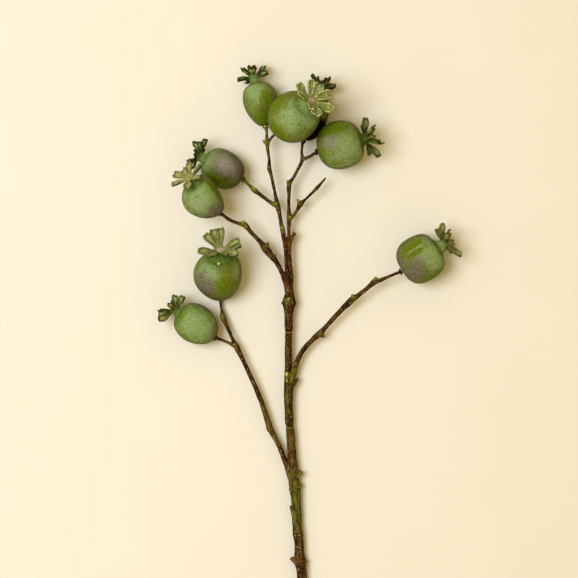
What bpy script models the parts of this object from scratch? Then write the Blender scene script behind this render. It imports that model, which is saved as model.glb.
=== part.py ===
# A cut spray of green poppy seed heads, lying on a flat surface.
# One woody branch carries nine seed heads. Each head is a capsule with a short neck, and
# a crown of stigma rays that sits on the neck.
# The origin is the spot near the cut end where the stem rests on the surface. +Y runs up
# the stem towards the heads, +X to the right as seen from above, and +Z up from the surface.
# Sizes and places below are in millimetres, and become metres where the meshes are made.

import math
import random
from dataclasses import dataclass

import bmesh
import bpy
from mathutils import Matrix, Vector

MM = 0.001
GAP = 0.3

# Branch: how finely the tubes are drawn, and the small forms that stand on them.
LONG_STRETCH = 9.0
STEM_BEVEL = 4
TWIG_BEVEL = 2
CUT_SLANT = 0.45
COLLAR_HEIGHT = 1.5
COLLAR_RADIUS = 2.6
COLLAR_STEM_RADIUS = 1.3
TOOTH_LENGTH = 2.4
TOOTH_RADIUS = 0.75
TOOTH_LEAN = 0.4

# Capsule: how finely it is turned, its base and the neck under the crown.
CAPSULE_SIDES = 20
ARC_STEPS = 4
BASE_RADIUS = 2.4
NECK_WAIST = 0.86
LOBE_DEPTH = 0.012

# Crown: the cup in the middle with its knob, and the rays that leave it like the spokes of
# a wheel. A ray is as wide as its outline says, from its root to its tip: share of its
# length, share of its width.
CUP_HEIGHT = 2.0
CUP_FLARE = 1.12
KNOB_RADIUS = 2.3
KNOB_HEIGHT = 0.5
RAY_THICKNESS = 0.9
RAY_START = 1.2
RAY_ROOT_HEIGHT = 1.45
RAY_CURVE = 1.2
RAY_OUTLINE = ((0.0, 0.5), (0.35, 0.5), (0.62, 0.88), (0.86, 1.0), (1.0, 0.5))
RAY_OPEN_BY = 0.6
SPOON_DEPTH = 0.45

BARK_COLOUR = (0.10, 0.055, 0.022, 1.0)
CAPSULE_COLOUR = (0.20, 0.30, 0.09, 1.0)
CROWN_COLOUR = (0.24, 0.33, 0.15, 1.0)

# Routes of the branch: x, y, z of the middle line, and the thickness there. A swollen
# point is a node, where a leaf or twig once grew.
MAIN_STEM = [
    (1.0, -9.5, 4.4, 9.5),
    (0.0, 22.5, 4.4, 9.1),
    (-0.9, 53.0, 4.6, 8.5),
    (-1.6, 77.0, 4.8, 7.6),
    (-2.4, 88.5, 5.0, 7.7),
    (-3.2, 94.0, 5.0, 9.1),
    (-3.7, 100.5, 5.1, 7.3),
    (-3.9, 109.0, 5.2, 7.0),
    (-4.5, 113.2, 5.3, 8.0),
    (-5.2, 119.5, 5.3, 7.4),
    (-5.9, 132.5, 5.5, 7.4),
    (-6.3, 141.5, 5.6, 7.4),
    (-7.0, 148.5, 5.7, 8.5),
    (-7.6, 155.0, 5.8, 8.3),
    (-8.2, 163.0, 5.9, 7.4),
    (-9.4, 176.0, 6.0, 6.7),
    (-10.7, 193.2, 6.3, 6.5),
    (-11.0, 196.1, 6.3, 5.6),
    (-11.3, 200.0, 6.4, 6.5),
    (-11.7, 210.0, 6.5, 6.4),
    (-11.9, 218.0, 6.7, 6.8),
    (-11.7, 226.0, 6.9, 7.6),
    (-11.7, 232.5, 7.0, 6.7),
    (-12.0, 241.5, 7.2, 5.5),
    (-12.0, 255.5, 7.4, 5.4),
    (-11.7, 267.8, 7.8, 5.4),
    (-11.7, 269.7, 7.8, 6.4),
    (-11.7, 274.3, 7.9, 6.2),
    (-11.6, 282.0, 8.1, 7.0),
    (-11.5, 287.0, 8.3, 9.1),
    (-11.5, 290.5, 8.4, 10.3),
    (-11.3, 293.6, 8.5, 8.3),
    (-11.1, 298.5, 8.7, 6.1),
]
RIGHT_LEADER = [
    (-10.7, 290.0, 8.4, 4.5),
    (-10.0, 299.0, 8.7, 3.5),
    (-9.8, 310.0, 9.1, 3.3),
    (-10.7, 320.5, 9.4, 3.1),
    (-11.3, 329.5, 9.8, 3.2),
    (-11.3, 335.5, 10.0, 3.8),
    (-11.7, 342.5, 10.2, 2.6),
    (-11.3, 353.0, 10.6, 3.8),
    (-11.7, 362.0, 11.0, 2.7),
    (-11.5, 371.0, 11.4, 2.9),
    (-11.5, 378.0, 11.7, 3.8),
    (-10.1, 381.2, 11.8, 2.9),
    (-7.3, 385.6, 12.0, 2.5),
    (-2.4, 394.8, 12.4, 2.9),
    (-1.3, 398.5, 12.6, 3.6),
]
LEFT_LEADER = [
    (-11.7, 290.0, 8.8, 4.2),
    (-11.7, 301.0, 9.6, 3.3),
    (-12.7, 310.0, 10.4, 2.9),
    (-13.8, 320.0, 10.8, 2.6),
    (-14.4, 331.0, 11.0, 2.7),
    (-16.2, 344.0, 11.3, 3.8),
    (-17.5, 350.0, 11.5, 3.2),
    (-18.7, 357.0, 11.8, 3.3),
    (-20.1, 362.7, 12.2, 4.2),
    (-21.8, 371.0, 12.6, 2.7),
    (-24.8, 385.5, 13.3, 2.6),
    (-26.4, 390.8, 13.6, 3.5),
    (-26.4, 397.5, 13.9, 2.4),
    (-27.5, 405.0, 14.3, 2.6),
    (-27.9, 410.0, 14.6, 3.5),
]
RIGHT_ARM = [
    (-11.3, 223.0, 6.9, 5.3),
    (-9.6, 230.5, 7.2, 4.8),
    (-5.2, 245.5, 8.1, 4.0),
    (0.0, 254.8, 8.8, 4.0),
    (7.0, 262.3, 9.7, 4.2),
    (11.8, 266.3, 10.2, 5.3),
    (15.2, 270.0, 10.5, 3.8),
    (25.7, 281.8, 11.8, 3.8),
    (36.2, 292.0, 13.0, 5.3),
    (40.4, 294.9, 13.3, 3.6),
    (47.9, 301.0, 14.3, 3.5),
    (53.4, 305.6, 15.0, 4.7),
    (57.8, 306.8, 15.3, 3.2),
    (65.5, 310.2, 16.0, 2.4),
]
LEFT_ARM = [
    (-12.0, 292.5, 9.0, 4.5),
    (-13.0, 300.0, 9.5, 3.9),
    (-15.9, 310.0, 10.5, 3.8),
    (-20.7, 320.0, 11.7, 3.9),
    (-24.2, 324.2, 12.3, 4.9),
    (-29.5, 331.0, 13.5, 6.0),
    (-33.4, 335.8, 14.5, 3.6),
    (-41.2, 344.0, 16.5, 3.5),
    (-44.7, 348.2, 17.5, 4.5),
    (-48.8, 349.2, 18.7, 2.9),
    (-55.7, 351.8, 21.2, 2.7),
]
LOWER_ARM = [
    (-7.5, 146.0, 5.8, 4.5),
    (-9.6, 154.5, 5.9, 4.8),
    (-13.3, 166.0, 6.1, 4.0),
    (-18.3, 179.5, 6.5, 3.8),
    (-22.3, 187.5, 6.7, 4.0),
    (-26.2, 194.8, 7.0, 4.9),
    (-27.9, 201.0, 7.1, 4.4),
    (-35.0, 221.3, 7.6, 3.9),
    (-46.2, 246.0, 8.2, 3.6),
    (-51.4, 256.4, 8.5, 4.5),
    (-53.6, 261.0, 8.5, 2.9),
    (-59.2, 273.5, 7.4, 3.2),
    (-61.4, 278.4, 6.4, 4.2),
    (-62.5, 284.1, 5.0, 2.3),
    (-63.2, 288.5, 4.1, 2.3),
]
BARE_TWIG = [
    (-11.3, 352.0, 10.6, 3.0),
    (-8.6, 354.7, 10.8, 2.5),
    (-4.9, 360.3, 11.3, 2.7),
    (-3.0, 364.0, 11.8, 4.5),
    (0.2, 367.0, 12.1, 2.3),
    (6.2, 372.8, 12.5, 2.3),
    (9.6, 376.2, 12.8, 3.0),
    (11.7, 378.6, 13.0, 2.3),
    (16.4, 383.9, 13.3, 1.5),
]
LOWER_LEFT_TWIG = [(-51.3, 255.7, 8.5, 3.4), (-56.1, 258.8, 9.5, 2.4), (-62.5, 261.6, 11.2, 2.3)]
LEFT_BACK_TWIG = [
    (-20.0, 362.0, 12.2, 3.4),
    (-24.2, 364.5, 12.6, 3.0),
    (-34.1, 371.8, 13.2, 2.9),
    (-36.9, 374.0, 13.3, 4.4),
    (-40.9, 377.6, 13.3, 2.4),
]
TOP_LEFT_TWIG = [(-28.0, 409.3, 14.6, 3.0), (-28.2, 416.1, 14.9, 2.3)]
FRONT_TWIG = [(-27.6, 408.6, 14.6, 2.7), (-26.1, 412.0, 16.8, 2.3), (-23.1, 415.2, 22.0, 2.1)]
BACK_TWIG = [(-1.5, 398.1, 12.6, 3.0), (-1.8, 404.9, 12.9, 2.1)]
TOP_RIGHT_TWIG = [(-1.1, 397.9, 12.6, 3.0), (4.0, 399.8, 14.0, 2.4)]

# Stubs left where side twigs were cut or dropped, each a short tapered tube.
STUBS = [
    [(-10.7, 334.8, 10.0, 2.7), (-8.3, 340.0, 10.4, 2.7), (-7.1, 342.8, 10.7, 3.3)],
    [(-7.0, 157.0, 6.5, 3.5), (-4.0, 159.5, 7.0, 3.3), (-2.0, 162.2, 7.3, 3.3)],
    [(-6.8, 124.0, 6.5, 3.5), (-8.6, 131.0, 7.5, 3.0), (-9.6, 136.0, 8.0, 3.2)],
    [(-5.0, 92.0, 5.5, 4.0), (-8.0, 94.5, 5.8, 3.3), (-9.9, 96.6, 6.0, 3.3)],
    [(-3.0, 91.5, 5.3, 4.0), (0.3, 93.0, 5.5, 3.3), (1.8, 94.6, 5.6, 2.8)],
    [(-8.5, 226.5, 7.0, 3.0), (-6.0, 230.0, 7.5, 2.0), (-4.4, 232.6, 7.8, 1.9)],
    [(-5.0, 149.0, 6.0, 4.0), (-2.5, 152.6, 6.3, 3.3)],
    [(-8.0, 145.5, 6.0, 4.0), (-10.9, 149.0, 6.0, 2.8)],
    [(-9.5, 287.5, 8.4, 4.5), (-6.6, 290.6, 8.6, 3.0)],
    [(-13.5, 287.5, 8.4, 4.5), (-16.5, 290.6, 8.6, 3.0)],
]

# Buds and leaf scars: centre, radius across, and the way each one points in plan.
BUDS = [
    ((-12.3, 292.0, 11.8), 2.1, 90),
    ((-13.0, 233.5, 9.0), 2.0, 92),
    ((-5.2, 113.6, 8.6), 1.5, 95),
    ((-16.6, 345.4, 12.3), 1.5, 110),
    ((-10.9, 353.4, 11.8), 1.5, 80),
    ((-11.9, 380.2, 12.6), 1.6, 110),
    ((-26.6, 391.3, 14.6), 1.4, 105),
    ((-30.0, 410.8, 14.7), 1.4, 130),
    ((-37.4, 375.0, 14.3), 1.8, 130),
    ((-45.4, 349.6, 18.9), 1.7, 120),
    ((-28.2, 332.8, 14.8), 1.9, 60),
    ((-22.6, 324.2, 13.4), 1.7, 60),
    ((37.0, 294.0, 14.2), 1.8, 120),
    ((53.8, 307.2, 15.8), 1.7, 90),
    ((-52.0, 257.6, 9.6), 1.6, 120),
    ((-62.8, 278.6, 6.9), 1.4, 130),
    ((-20.9, 363.8, 13.4), 1.5, 120),
    ((13.6, 264.6, 10.4), 1.7, 330),
    ((-4.2, 365.8, 12.2), 1.6, 120),
    ((10.2, 376.2, 13.2), 1.1, 60),
    ((-8.8, 242.0, 7.8), 1.5, 60),
    ((-12.3, 199.0, 8.5), 1.3, 100),
]


@dataclass
class Head:
    """One seed head: where its base is, the way it points, and its shape.

    The heading is turned from +X in plan, and the rise is the slope of its middle line. The
    capsule's body has its widest place at a share of its length, where it may bow to the left
    of its heading. Its lower and upper halves are fuller for larger numbers. Each ray has its
    turn round the middle line, its reach, the rise of its tip over the cup, and its width. The
    roll turns the faces of the rays at the head's sides upwards.
    """

    name: str
    base: tuple
    heading: float
    rise: float
    radius: float
    body: float
    widest: float
    full_low: float
    full_high: float
    neck_radius: float
    neck: float
    bow: float
    roll: float
    rays: list

    def axis(self):
        level = math.cos(math.radians(self.rise))
        turn = math.radians(self.heading)
        return Vector((level * math.cos(turn), level * math.sin(turn), math.sin(math.radians(self.rise))))

    def height(self):
        """Base to the flat top of the neck."""
        return self.body + self.neck

    def place(self):
        """Takes the head's own frame to its place: base at the origin, +Z up its middle line, +X to its left."""
        turn = self.axis().to_track_quat("Z", "Y").to_matrix().to_4x4()
        return Matrix.Translation(Vector(self.base) * MM) @ turn


HEADS = [
    Head("top_left", (-29.0, 423.4, 14.4), 103.6, -4, 13.2, 32.5, 0.60, 1.7, 2.0, 3.8, 4.0, -0.8, 45, [
        (10, 12.0, -1.2, 3.8), (44, 10.1, 5.1, 4.2), (88, 9.5, 4.8, 4.8), (149, 11.7, -1.9, 4.0),
        (197, 10.2, 5.0, 4.0), (259, 10.2, 2.0, 4.2), (306, 10.0, -2.8, 3.6),
    ]),
    Head("front", (-18.6, 419.0, 29.5), 39.8, 44, 18.8, 35.5, 0.52, 2.0, 2.1, 4.9, 5.0, 0.0, 8, [
        (21, 16.0, 4.0, 5.3), (54, 14.8, 3.5, 4.6), (108, 14.5, 5.0, 4.8), (141, 15.7, 3.0, 6.2),
        (201, 15.4, 3.5, 5.6), (255, 15.0, 4.5, 5.2), (293, 12.9, 4.5, 5.8), (325, 13.9, 4.5, 4.4),
    ]),
    Head("back", (-0.6, 413.0, 12.0), 69.8, 0, 12.1, 35.0, 0.51, 1.9, 2.0, 3.9, 4.6, 0.0, 45, [
        (11, 10.6, 5.0, 3.8), (51, 9.0, 3.7, 4.2), (107, 7.3, 6.6, 4.2), (160, 8.8, 3.1, 4.2),
        (229, 9.2, 3.0, 4.2), (288, 9.5, 3.0, 4.2),
    ]),
    Head("top_right", (10.4, 403.4, 18.9), 14.4, 6, 18.2, 34.0, 0.50, 2.1, 2.2, 4.6, 2.0, 0.5, 45, [
        (334, 11.6, -2.0, 3.8), (15, 15.2, 1.2, 4.6), (50, 10.4, 6.8, 5.2), (135, 8.8, 9.0, 5.6),
        (172, 15.1, 4.0, 5.0), (208, 12.8, -2.0, 4.2), (280, 11.2, 3.0, 4.6),
    ]),
    Head("left_back", (-47.0, 383.2, 13.0), 151.9, 5, 14.6, 31.5, 0.54, 2.0, 2.05, 4.0, 4.0, 1.0, 45, [
        (162, 13.2, -0.5, 3.8), (138, 12.0, 2.2, 3.8), (202, 7.9, 5.8, 4.2), (237, 8.6, -2.4, 3.6),
        (38, 9.7, 3.1, 4.2), (349, 10.5, -1.4, 4.2), (95, 8.1, 2.3, 3.8),
    ]),
    Head("left_front", (-63.6, 357.6, 24.8), 131.7, 31, 14.5, 33.0, 0.63, 1.7, 2.1, 4.0, 4.2, 3.3, 12, [
        (348, 12.7, 2.0, 3.8), (62, 13.2, -1.0, 4.4), (112, 12.6, -1.0, 4.0), (156, 13.0, 2.5, 4.2),
        (231, 11.5, 2.5, 4.2), (263, 8.7, 2.0, 4.0), (297, 13.5, 2.5, 4.2),
    ]),
    Head("middle_left", (-63.5, 294.2, 4.8), 88.9, 38, 18.3, 37.3, 0.56, 1.7, 2.15, 4.8, 5.0, 1.9, 5, [
        (24, 17.0, 2.5, 4.8), (56, 13.5, 2.0, 5.2), (105, 11.5, 3.0, 4.6), (147, 15.6, 2.5, 4.4),
        (176, 14.8, 4.0, 4.2), (200, 14.5, 4.5, 4.6), (270, 16.8, 6.0, 5.0), (292, 16.5, 5.5, 4.8),
        (319, 15.2, 5.0, 4.8),
    ]),
    Head("lower_left", (-67.5, 263.6, 12.0), 144.9, 8, 14.6, 33.0, 0.54, 1.75, 2.05, 4.0, 2.5, 0.0, 45, [
        (156, 12.3, -1.1, 4.6), (204, 8.7, 4.0, 4.2), (104, 7.2, 2.9, 4.2), (44, 10.0, 8.5, 4.4),
        (13, 13.4, 3.6, 4.6), (334, 11.4, 5.8, 4.2), (262, 9.5, 3.0, 4.2),
    ]),
    Head("right", (73.8, 313.7, 16.3), 32.5, 4, 17.8, 32.0, 0.50, 2.45, 2.4, 4.9, 4.0, 0.3, 45, [
        (352, 13.7, 5.3, 3.8), (30, 14.0, -0.4, 4.2), (59, 11.7, 6.4, 5.2), (131, 11.9, 0.2, 4.2),
        (160, 14.6, 4.5, 4.8), (210, 12.0, 3.5, 4.2), (258, 12.0, 4.6, 4.4), (302, 12.5, 3.0, 4.4),
    ]),
]


def head_named(name):
    return next(head for head in HEADS if head.name == name)


def clear_scene():
    for thing in list(bpy.data.objects):
        bpy.data.objects.remove(thing)


def material(name, colour, roughness):
    made = bpy.data.materials.new(name)
    made.use_nodes = True
    shader = made.node_tree.nodes["Principled BSDF"]
    shader.inputs["Base Color"].default_value = colour
    shader.inputs["Roughness"].default_value = roughness
    made.diffuse_color = colour
    return made


def new_collection(name):
    made = bpy.data.collections.new(name)
    bpy.context.scene.collection.children.link(made)
    return made


def object_from(mesh_maker, name, collection):
    """An object from a bmesh, whose faces are made to point outwards."""
    bmesh.ops.recalc_face_normals(mesh_maker, faces=mesh_maker.faces)
    mesh = bpy.data.meshes.new(name)
    mesh_maker.to_mesh(mesh)
    mesh_maker.free()
    made = bpy.data.objects.new(name, mesh)
    collection.objects.link(made)
    return made


def catmull_rom(before, start, end, after, share):
    """A point on the smooth curve from start to end, with its thickness as the last number."""
    return [
        0.5 * (2 * b + (c - a) * share + (2 * a - 5 * b + 4 * c - d) * share ** 2
               + (3 * b - a - 3 * c + d) * share ** 3)
        for a, b, c, d in zip(before, start, end, after)
    ]


def smooth_route(route):
    """The route on one smooth curve, with its long stretches halved."""
    padded = [route[0], *route, route[-1]]
    points = []
    for before, start, end, after in zip(padded, padded[1:], padded[2:], padded[3:]):
        points.append(start)
        if math.dist(start[:3], end[:3]) > LONG_STRETCH:
            points.append(catmull_rom(before, start, end, after, 0.5))
    return [*points, route[-1]]


def tube(name, route, collection, bevel=TWIG_BEVEL):
    """A closed round tube along a route, as a mesh."""
    points = smooth_route(route)
    curve = bpy.data.curves.new(name, "CURVE")
    curve.dimensions = "3D"
    curve.bevel_depth = MM
    curve.bevel_resolution = bevel
    curve.use_fill_caps = True
    spline = curve.splines.new("POLY")
    spline.points.add(len(points) - 1)
    for target, (x, y, z, thickness) in zip(spline.points, points):
        target.co = (x * MM, y * MM, z * MM, 1)
        target.radius = thickness / 2
    guide = bpy.data.objects.new(name + "_guide", curve)
    collection.objects.link(guide)
    graph = bpy.context.evaluated_depsgraph_get()
    mesh = bpy.data.meshes.new_from_object(guide.evaluated_get(graph))
    bpy.data.objects.remove(guide)
    shape = bmesh.new()
    shape.from_mesh(mesh)
    bmesh.ops.remove_doubles(shape, verts=shape.verts, dist=0.00001)
    return object_from(shape, name, collection)


def bud(number, centre, radius, heading, collection):
    """A small blunt bud that lies along its twig, half sunk in it."""
    shape = bmesh.new()
    bmesh.ops.create_icosphere(shape, subdivisions=1, radius=radius * MM)
    turn = Matrix.Rotation(math.radians(heading), 4, "Z")
    bmesh.ops.transform(shape, verts=shape.verts,
                        matrix=Matrix.Translation(Vector(centre) * MM) @ turn @ Matrix.Diagonal((1.45, 0.85, 0.8, 1)))
    return object_from(shape, f"bud_{number}", collection)


def collar(head, collection):
    """The flared cup at a twig's end that the capsule sits in, with teeth left by the sepals."""
    made = []
    shape = bmesh.new()
    bmesh.ops.create_cone(shape, cap_ends=True, segments=10, radius1=COLLAR_STEM_RADIUS * MM,
                          radius2=COLLAR_RADIUS * MM, depth=COLLAR_HEIGHT * MM)
    drop = Matrix.Translation((0, 0, -(GAP + COLLAR_HEIGHT / 2) * MM))
    bmesh.ops.transform(shape, verts=shape.verts, matrix=head.place() @ drop)
    made.append(object_from(shape, "collar_" + head.name, collection))
    draw = random.Random(head.name)
    teeth = draw.choice((3, 4))
    for number in range(teeth):
        shape = bmesh.new()
        bmesh.ops.create_cone(shape, cap_ends=True, segments=5, radius1=TOOTH_RADIUS * MM,
                              radius2=0.3 * TOOTH_RADIUS * MM, depth=TOOTH_LENGTH * MM)
        outward = Matrix.Rotation(2 * math.pi * number / teeth + draw.uniform(-0.3, 0.3), 4, "Z")
        lean = Matrix.Rotation(math.pi / 2 + draw.uniform(0.0, TOOTH_LEAN), 4, "Y")
        shift = Matrix.Translation((0, 0, (0.35 * TOOTH_LENGTH + COLLAR_STEM_RADIUS) * MM))
        seat = Matrix.Translation((0, 0, -(GAP + TOOTH_RADIUS + 0.35) * MM))
        bmesh.ops.transform(shape, verts=shape.verts, matrix=head.place() @ seat @ outward @ lean @ shift)
        made.append(object_from(shape, f"tooth_{head.name}_{number}", collection))
    return made


def unite(name, pieces, paint, collection):
    """One closed body from overlapping pieces, by a Boolean union, and the pieces are then removed."""
    first, *others = pieces
    cutters = new_collection(name + "_pieces")
    for piece in others:
        collection.objects.unlink(piece)
        cutters.objects.link(piece)
    join = first.modifiers.new("join", "BOOLEAN")
    join.operation = "UNION"
    join.operand_type = "COLLECTION"
    join.collection = cutters
    join.solver = "MANIFOLD"
    graph = bpy.context.evaluated_depsgraph_get()
    mesh = bpy.data.meshes.new_from_object(first.evaluated_get(graph))
    for piece in pieces:
        bpy.data.objects.remove(piece)
    bpy.data.collections.remove(cutters)
    joined = bpy.data.objects.new(name, mesh)
    mesh.materials.clear()
    mesh.materials.append(paint)
    mesh.shade_smooth()
    collection.objects.link(joined)
    return joined


def slice_off(thing, point, outward):
    """Cuts away what lies beyond a plane, and closes the cut with a flat face."""
    shape = bmesh.new()
    shape.from_mesh(thing.data)
    cut = bmesh.ops.bisect_plane(shape, geom=[*shape.verts, *shape.edges, *shape.faces], dist=1e-7,
                                 plane_co=Vector(point) * MM, plane_no=outward, clear_outer=True)
    edges = [piece for piece in cut["geom_cut"] if isinstance(piece, bmesh.types.BMEdge)]
    if edges:
        bmesh.ops.holes_fill(shape, edges=edges)
        bmesh.ops.recalc_face_normals(shape, faces=shape.faces)
        shape.to_mesh(thing.data)
    shape.free()


def rest_flat(thing):
    """The small flat spot where the piece lies on the surface."""
    slice_off(thing, (0, 0, 0), (0, 0, -1))


def seated(route, head):
    """A twig's route, led on to the middle of its head's collar."""
    x, y, z = Vector(head.base) - head.axis() * (GAP + COLLAR_HEIGHT / 2)
    return [*route, (x, y, z, 2 * COLLAR_STEM_RADIUS)]


def make_branch(collection, paint):
    """The woody stem with all its arms, twigs, stubs, buds and collars, grown as one piece."""
    stem = tube("stem", MAIN_STEM, collection, STEM_BEVEL)
    slice_off(stem, (1.0, -8.0, 4.4), (0, -1, CUT_SLANT))
    pieces = [stem]
    pieces.append(tube("right_leader", RIGHT_LEADER, collection))
    pieces.append(tube("left_leader", LEFT_LEADER, collection))
    pieces.append(tube("bare_twig", BARE_TWIG, collection))
    twigs = {
        "right": RIGHT_ARM,
        "left_front": LEFT_ARM,
        "middle_left": LOWER_ARM,
        "lower_left": LOWER_LEFT_TWIG,
        "left_back": LEFT_BACK_TWIG,
        "top_left": TOP_LEFT_TWIG,
        "front": FRONT_TWIG,
        "back": BACK_TWIG,
        "top_right": TOP_RIGHT_TWIG,
    }
    for name, route in twigs.items():
        head = head_named(name)
        pieces.append(tube("twig_" + name, seated(route, head), collection))
        pieces += collar(head, collection)
    for number, route in enumerate(STUBS):
        pieces.append(tube(f"stub_{number}", route, collection))
    for number, (centre, radius, heading) in enumerate(BUDS):
        pieces.append(bud(number, centre, radius, heading, collection))
    branch = unite("branch", pieces, paint, collection)
    rest_flat(branch)
    return branch


def capsule_profile(head):
    """Half the capsule's outline, from the middle of its base to the middle of the neck's top."""
    middle = head.widest * head.body
    points = [(0, 0), (BASE_RADIUS, 0)]
    for step in range(1, ARC_STEPS + 1):
        turn = math.pi / 2 * step / ARC_STEPS
        out = math.sin(turn) ** (2 / head.full_low)
        up = 1 - math.cos(turn) ** (2 / head.full_low)
        points.append((BASE_RADIUS + (head.radius - BASE_RADIUS) * out, middle * up))
    for step in range(1, ARC_STEPS + 1):
        turn = math.pi / 2 * step / ARC_STEPS
        out = math.cos(turn) ** (2 / head.full_high)
        up = math.sin(turn) ** (2 / head.full_high)
        points.append((head.neck_radius + (head.radius - head.neck_radius) * out, middle + (head.body - middle) * up))
    points.append((NECK_WAIST * head.neck_radius, head.body + 0.45 * head.neck))
    points.append((head.neck_radius, head.height()))
    points.append((0, head.height()))
    return points


def make_capsule(head, collection, paint):
    """The swollen green capsule: a turned body, drawn in to the neck, with faint upright lobes."""
    shape = bmesh.new()
    corners = [shape.verts.new((out * MM, 0, up * MM)) for out, up in capsule_profile(head)]
    edges = [shape.edges.new(pair) for pair in zip(corners, corners[1:])]
    bmesh.ops.spin(shape, geom=[*corners, *edges], cent=(0, 0, 0), axis=(0, 0, 1), angle=2 * math.pi,
                   steps=CAPSULE_SIDES, use_merge=True)
    bmesh.ops.remove_doubles(shape, verts=shape.verts, dist=0.00001)
    for corner in shape.verts:
        share = min(1.0, max(0.0, corner.co.z / (head.body * MM)))
        turn = math.atan2(corner.co.y, corner.co.x)
        lobe = 1 + LOBE_DEPTH * math.sin(math.pi * share) * math.cos(5 * turn + head.radius)
        corner.co.x = corner.co.x * lobe + head.bow * MM * math.sin(math.pi * share)
        corner.co.y *= lobe
    bmesh.ops.transform(shape, verts=shape.verts, matrix=head.place())
    capsule = object_from(shape, "capsule_" + head.name, collection)
    capsule.data.materials.append(paint)
    capsule.data.shade_smooth()
    rest_flat(capsule)
    return capsule


def ray(head, number, collection):
    """One stigma ray: a narrow root that widens to a round tip, with its edges raised like a spoon's."""
    turn, reach, rise, width = head.rays[number]
    root = RAY_ROOT_HEIGHT + 0.04 * (number % 3)
    tilt = Matrix.Rotation(-math.radians(head.roll) * math.cos(math.radians(turn)), 3, "X")
    shape = bmesh.new()
    rows = []
    for along, share in RAY_OUTLINE:
        middle = Vector((RAY_START + (reach - RAY_START) * along, 0,
                         root + (CUP_HEIGHT + rise - root) * along ** RAY_CURVE))
        half = 0.5 * width * share
        opened = min(1.0, along / RAY_OPEN_BY)
        lean = Matrix.Identity(3).lerp(tilt, opened)
        across = [Vector((0, side * half, abs(side) * SPOON_DEPTH * half * opened)) for side in (-1, 0, 1)]
        rows.append([shape.verts.new((middle + lean @ offset) * MM) for offset in across])
    for low, high in zip(rows, rows[1:]):
        for side in (0, 1):
            shape.faces.new((low[side], high[side], high[side + 1], low[side + 1]))
    shape.normal_update()
    bmesh.ops.solidify(shape, geom=shape.faces[:], thickness=RAY_THICKNESS * MM)
    raise_up = Matrix.Translation((0, 0, (head.height() + GAP) * MM))
    bmesh.ops.transform(shape, verts=shape.verts,
                        matrix=head.place() @ raise_up @ Matrix.Rotation(math.radians(turn), 4, "Z"))
    return object_from(shape, f"ray_{head.name}_{number}", collection)


def round_block(name, head, segments, low_radius, high_radius, bottom, top, collection):
    """A round block on the head's middle line, between two heights over the neck's top."""
    shape = bmesh.new()
    bmesh.ops.create_cone(shape, cap_ends=True, segments=segments, radius1=low_radius * MM,
                          radius2=high_radius * MM, depth=(top - bottom) * MM)
    seat = Matrix.Translation((0, 0, (head.height() + GAP + (bottom + top) / 2) * MM))
    bmesh.ops.transform(shape, verts=shape.verts, matrix=head.place() @ seat)
    return object_from(shape, name, collection)


def make_crown(head, collection, paint):
    """The stigma cup on the neck, with a knob in its middle and its rays grown into it."""
    cup = round_block("cup_" + head.name, head, 12, 0.92 * head.neck_radius, CUP_FLARE * head.neck_radius,
                      0, CUP_HEIGHT, collection)
    knob = round_block("knob_" + head.name, head, 8, KNOB_RADIUS, 0.7 * KNOB_RADIUS,
                       CUP_HEIGHT / 2, CUP_HEIGHT + KNOB_HEIGHT, collection)
    rays = [ray(head, number, collection) for number in range(len(head.rays))]
    return unite("crown_" + head.name, [cup, knob, *rays], paint, collection)


def main():
    clear_scene()
    spray = new_collection("poppy_seed_heads")
    bark = material("bark", BARK_COLOUR, 0.75)
    skin = material("capsule_skin", CAPSULE_COLOUR, 0.6)
    stigma = material("stigma", CROWN_COLOUR, 0.65)
    make_branch(spray, bark)
    for head in HEADS:
        make_capsule(head, spray, skin)
        make_crown(head, spray, stigma)


main()
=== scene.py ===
import math
import random

import bmesh
import bpy
from mathutils import Matrix, Vector, kdtree, noise


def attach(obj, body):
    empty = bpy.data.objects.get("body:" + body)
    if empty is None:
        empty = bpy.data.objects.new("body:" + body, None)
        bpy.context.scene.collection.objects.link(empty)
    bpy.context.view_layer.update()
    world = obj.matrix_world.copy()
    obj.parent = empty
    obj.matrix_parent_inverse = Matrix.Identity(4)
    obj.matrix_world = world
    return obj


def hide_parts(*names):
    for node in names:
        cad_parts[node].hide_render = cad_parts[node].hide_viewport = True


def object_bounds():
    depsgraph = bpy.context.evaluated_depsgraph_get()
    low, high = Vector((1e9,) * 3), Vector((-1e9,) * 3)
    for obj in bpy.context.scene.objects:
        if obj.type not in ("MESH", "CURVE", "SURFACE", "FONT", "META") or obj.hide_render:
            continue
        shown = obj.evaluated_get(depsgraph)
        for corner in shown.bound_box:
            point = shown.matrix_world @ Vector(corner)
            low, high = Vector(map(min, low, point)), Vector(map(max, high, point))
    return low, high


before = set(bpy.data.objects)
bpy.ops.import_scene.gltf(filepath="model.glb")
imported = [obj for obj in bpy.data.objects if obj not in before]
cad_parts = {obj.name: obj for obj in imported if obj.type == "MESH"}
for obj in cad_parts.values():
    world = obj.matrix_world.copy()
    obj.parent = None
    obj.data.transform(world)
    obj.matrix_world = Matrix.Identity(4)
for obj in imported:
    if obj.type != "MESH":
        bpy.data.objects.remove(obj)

frame_low, frame_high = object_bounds()


# Camera.
# It hangs 1.8 m over the table and looks straight down on the spray. Its long lens keeps the
# heads round out to the edges of the picture.

CAMERA_PLACE = (-0.0115, 0.300, 1.8)
CAMERA_LENS = 147.5
CAMERA_SENSOR = 36.0
NEAREST_SEEN = 0.1
FARTHEST_SEEN = 20


def add_object(name, data):
    """A new object of this mesh, light or camera, in the scene."""
    made = bpy.data.objects.new(name, data)
    bpy.context.scene.collection.objects.link(made)
    return made


camera = add_object("overhead_camera", bpy.data.cameras.new("overhead_camera"))
camera.data.lens = CAMERA_LENS
camera.data.sensor_width = CAMERA_SENSOR
camera.data.clip_start = NEAREST_SEEN
camera.data.clip_end = FARTHEST_SEEN
camera.location = CAMERA_PLACE
bpy.context.scene.camera = camera


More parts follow.
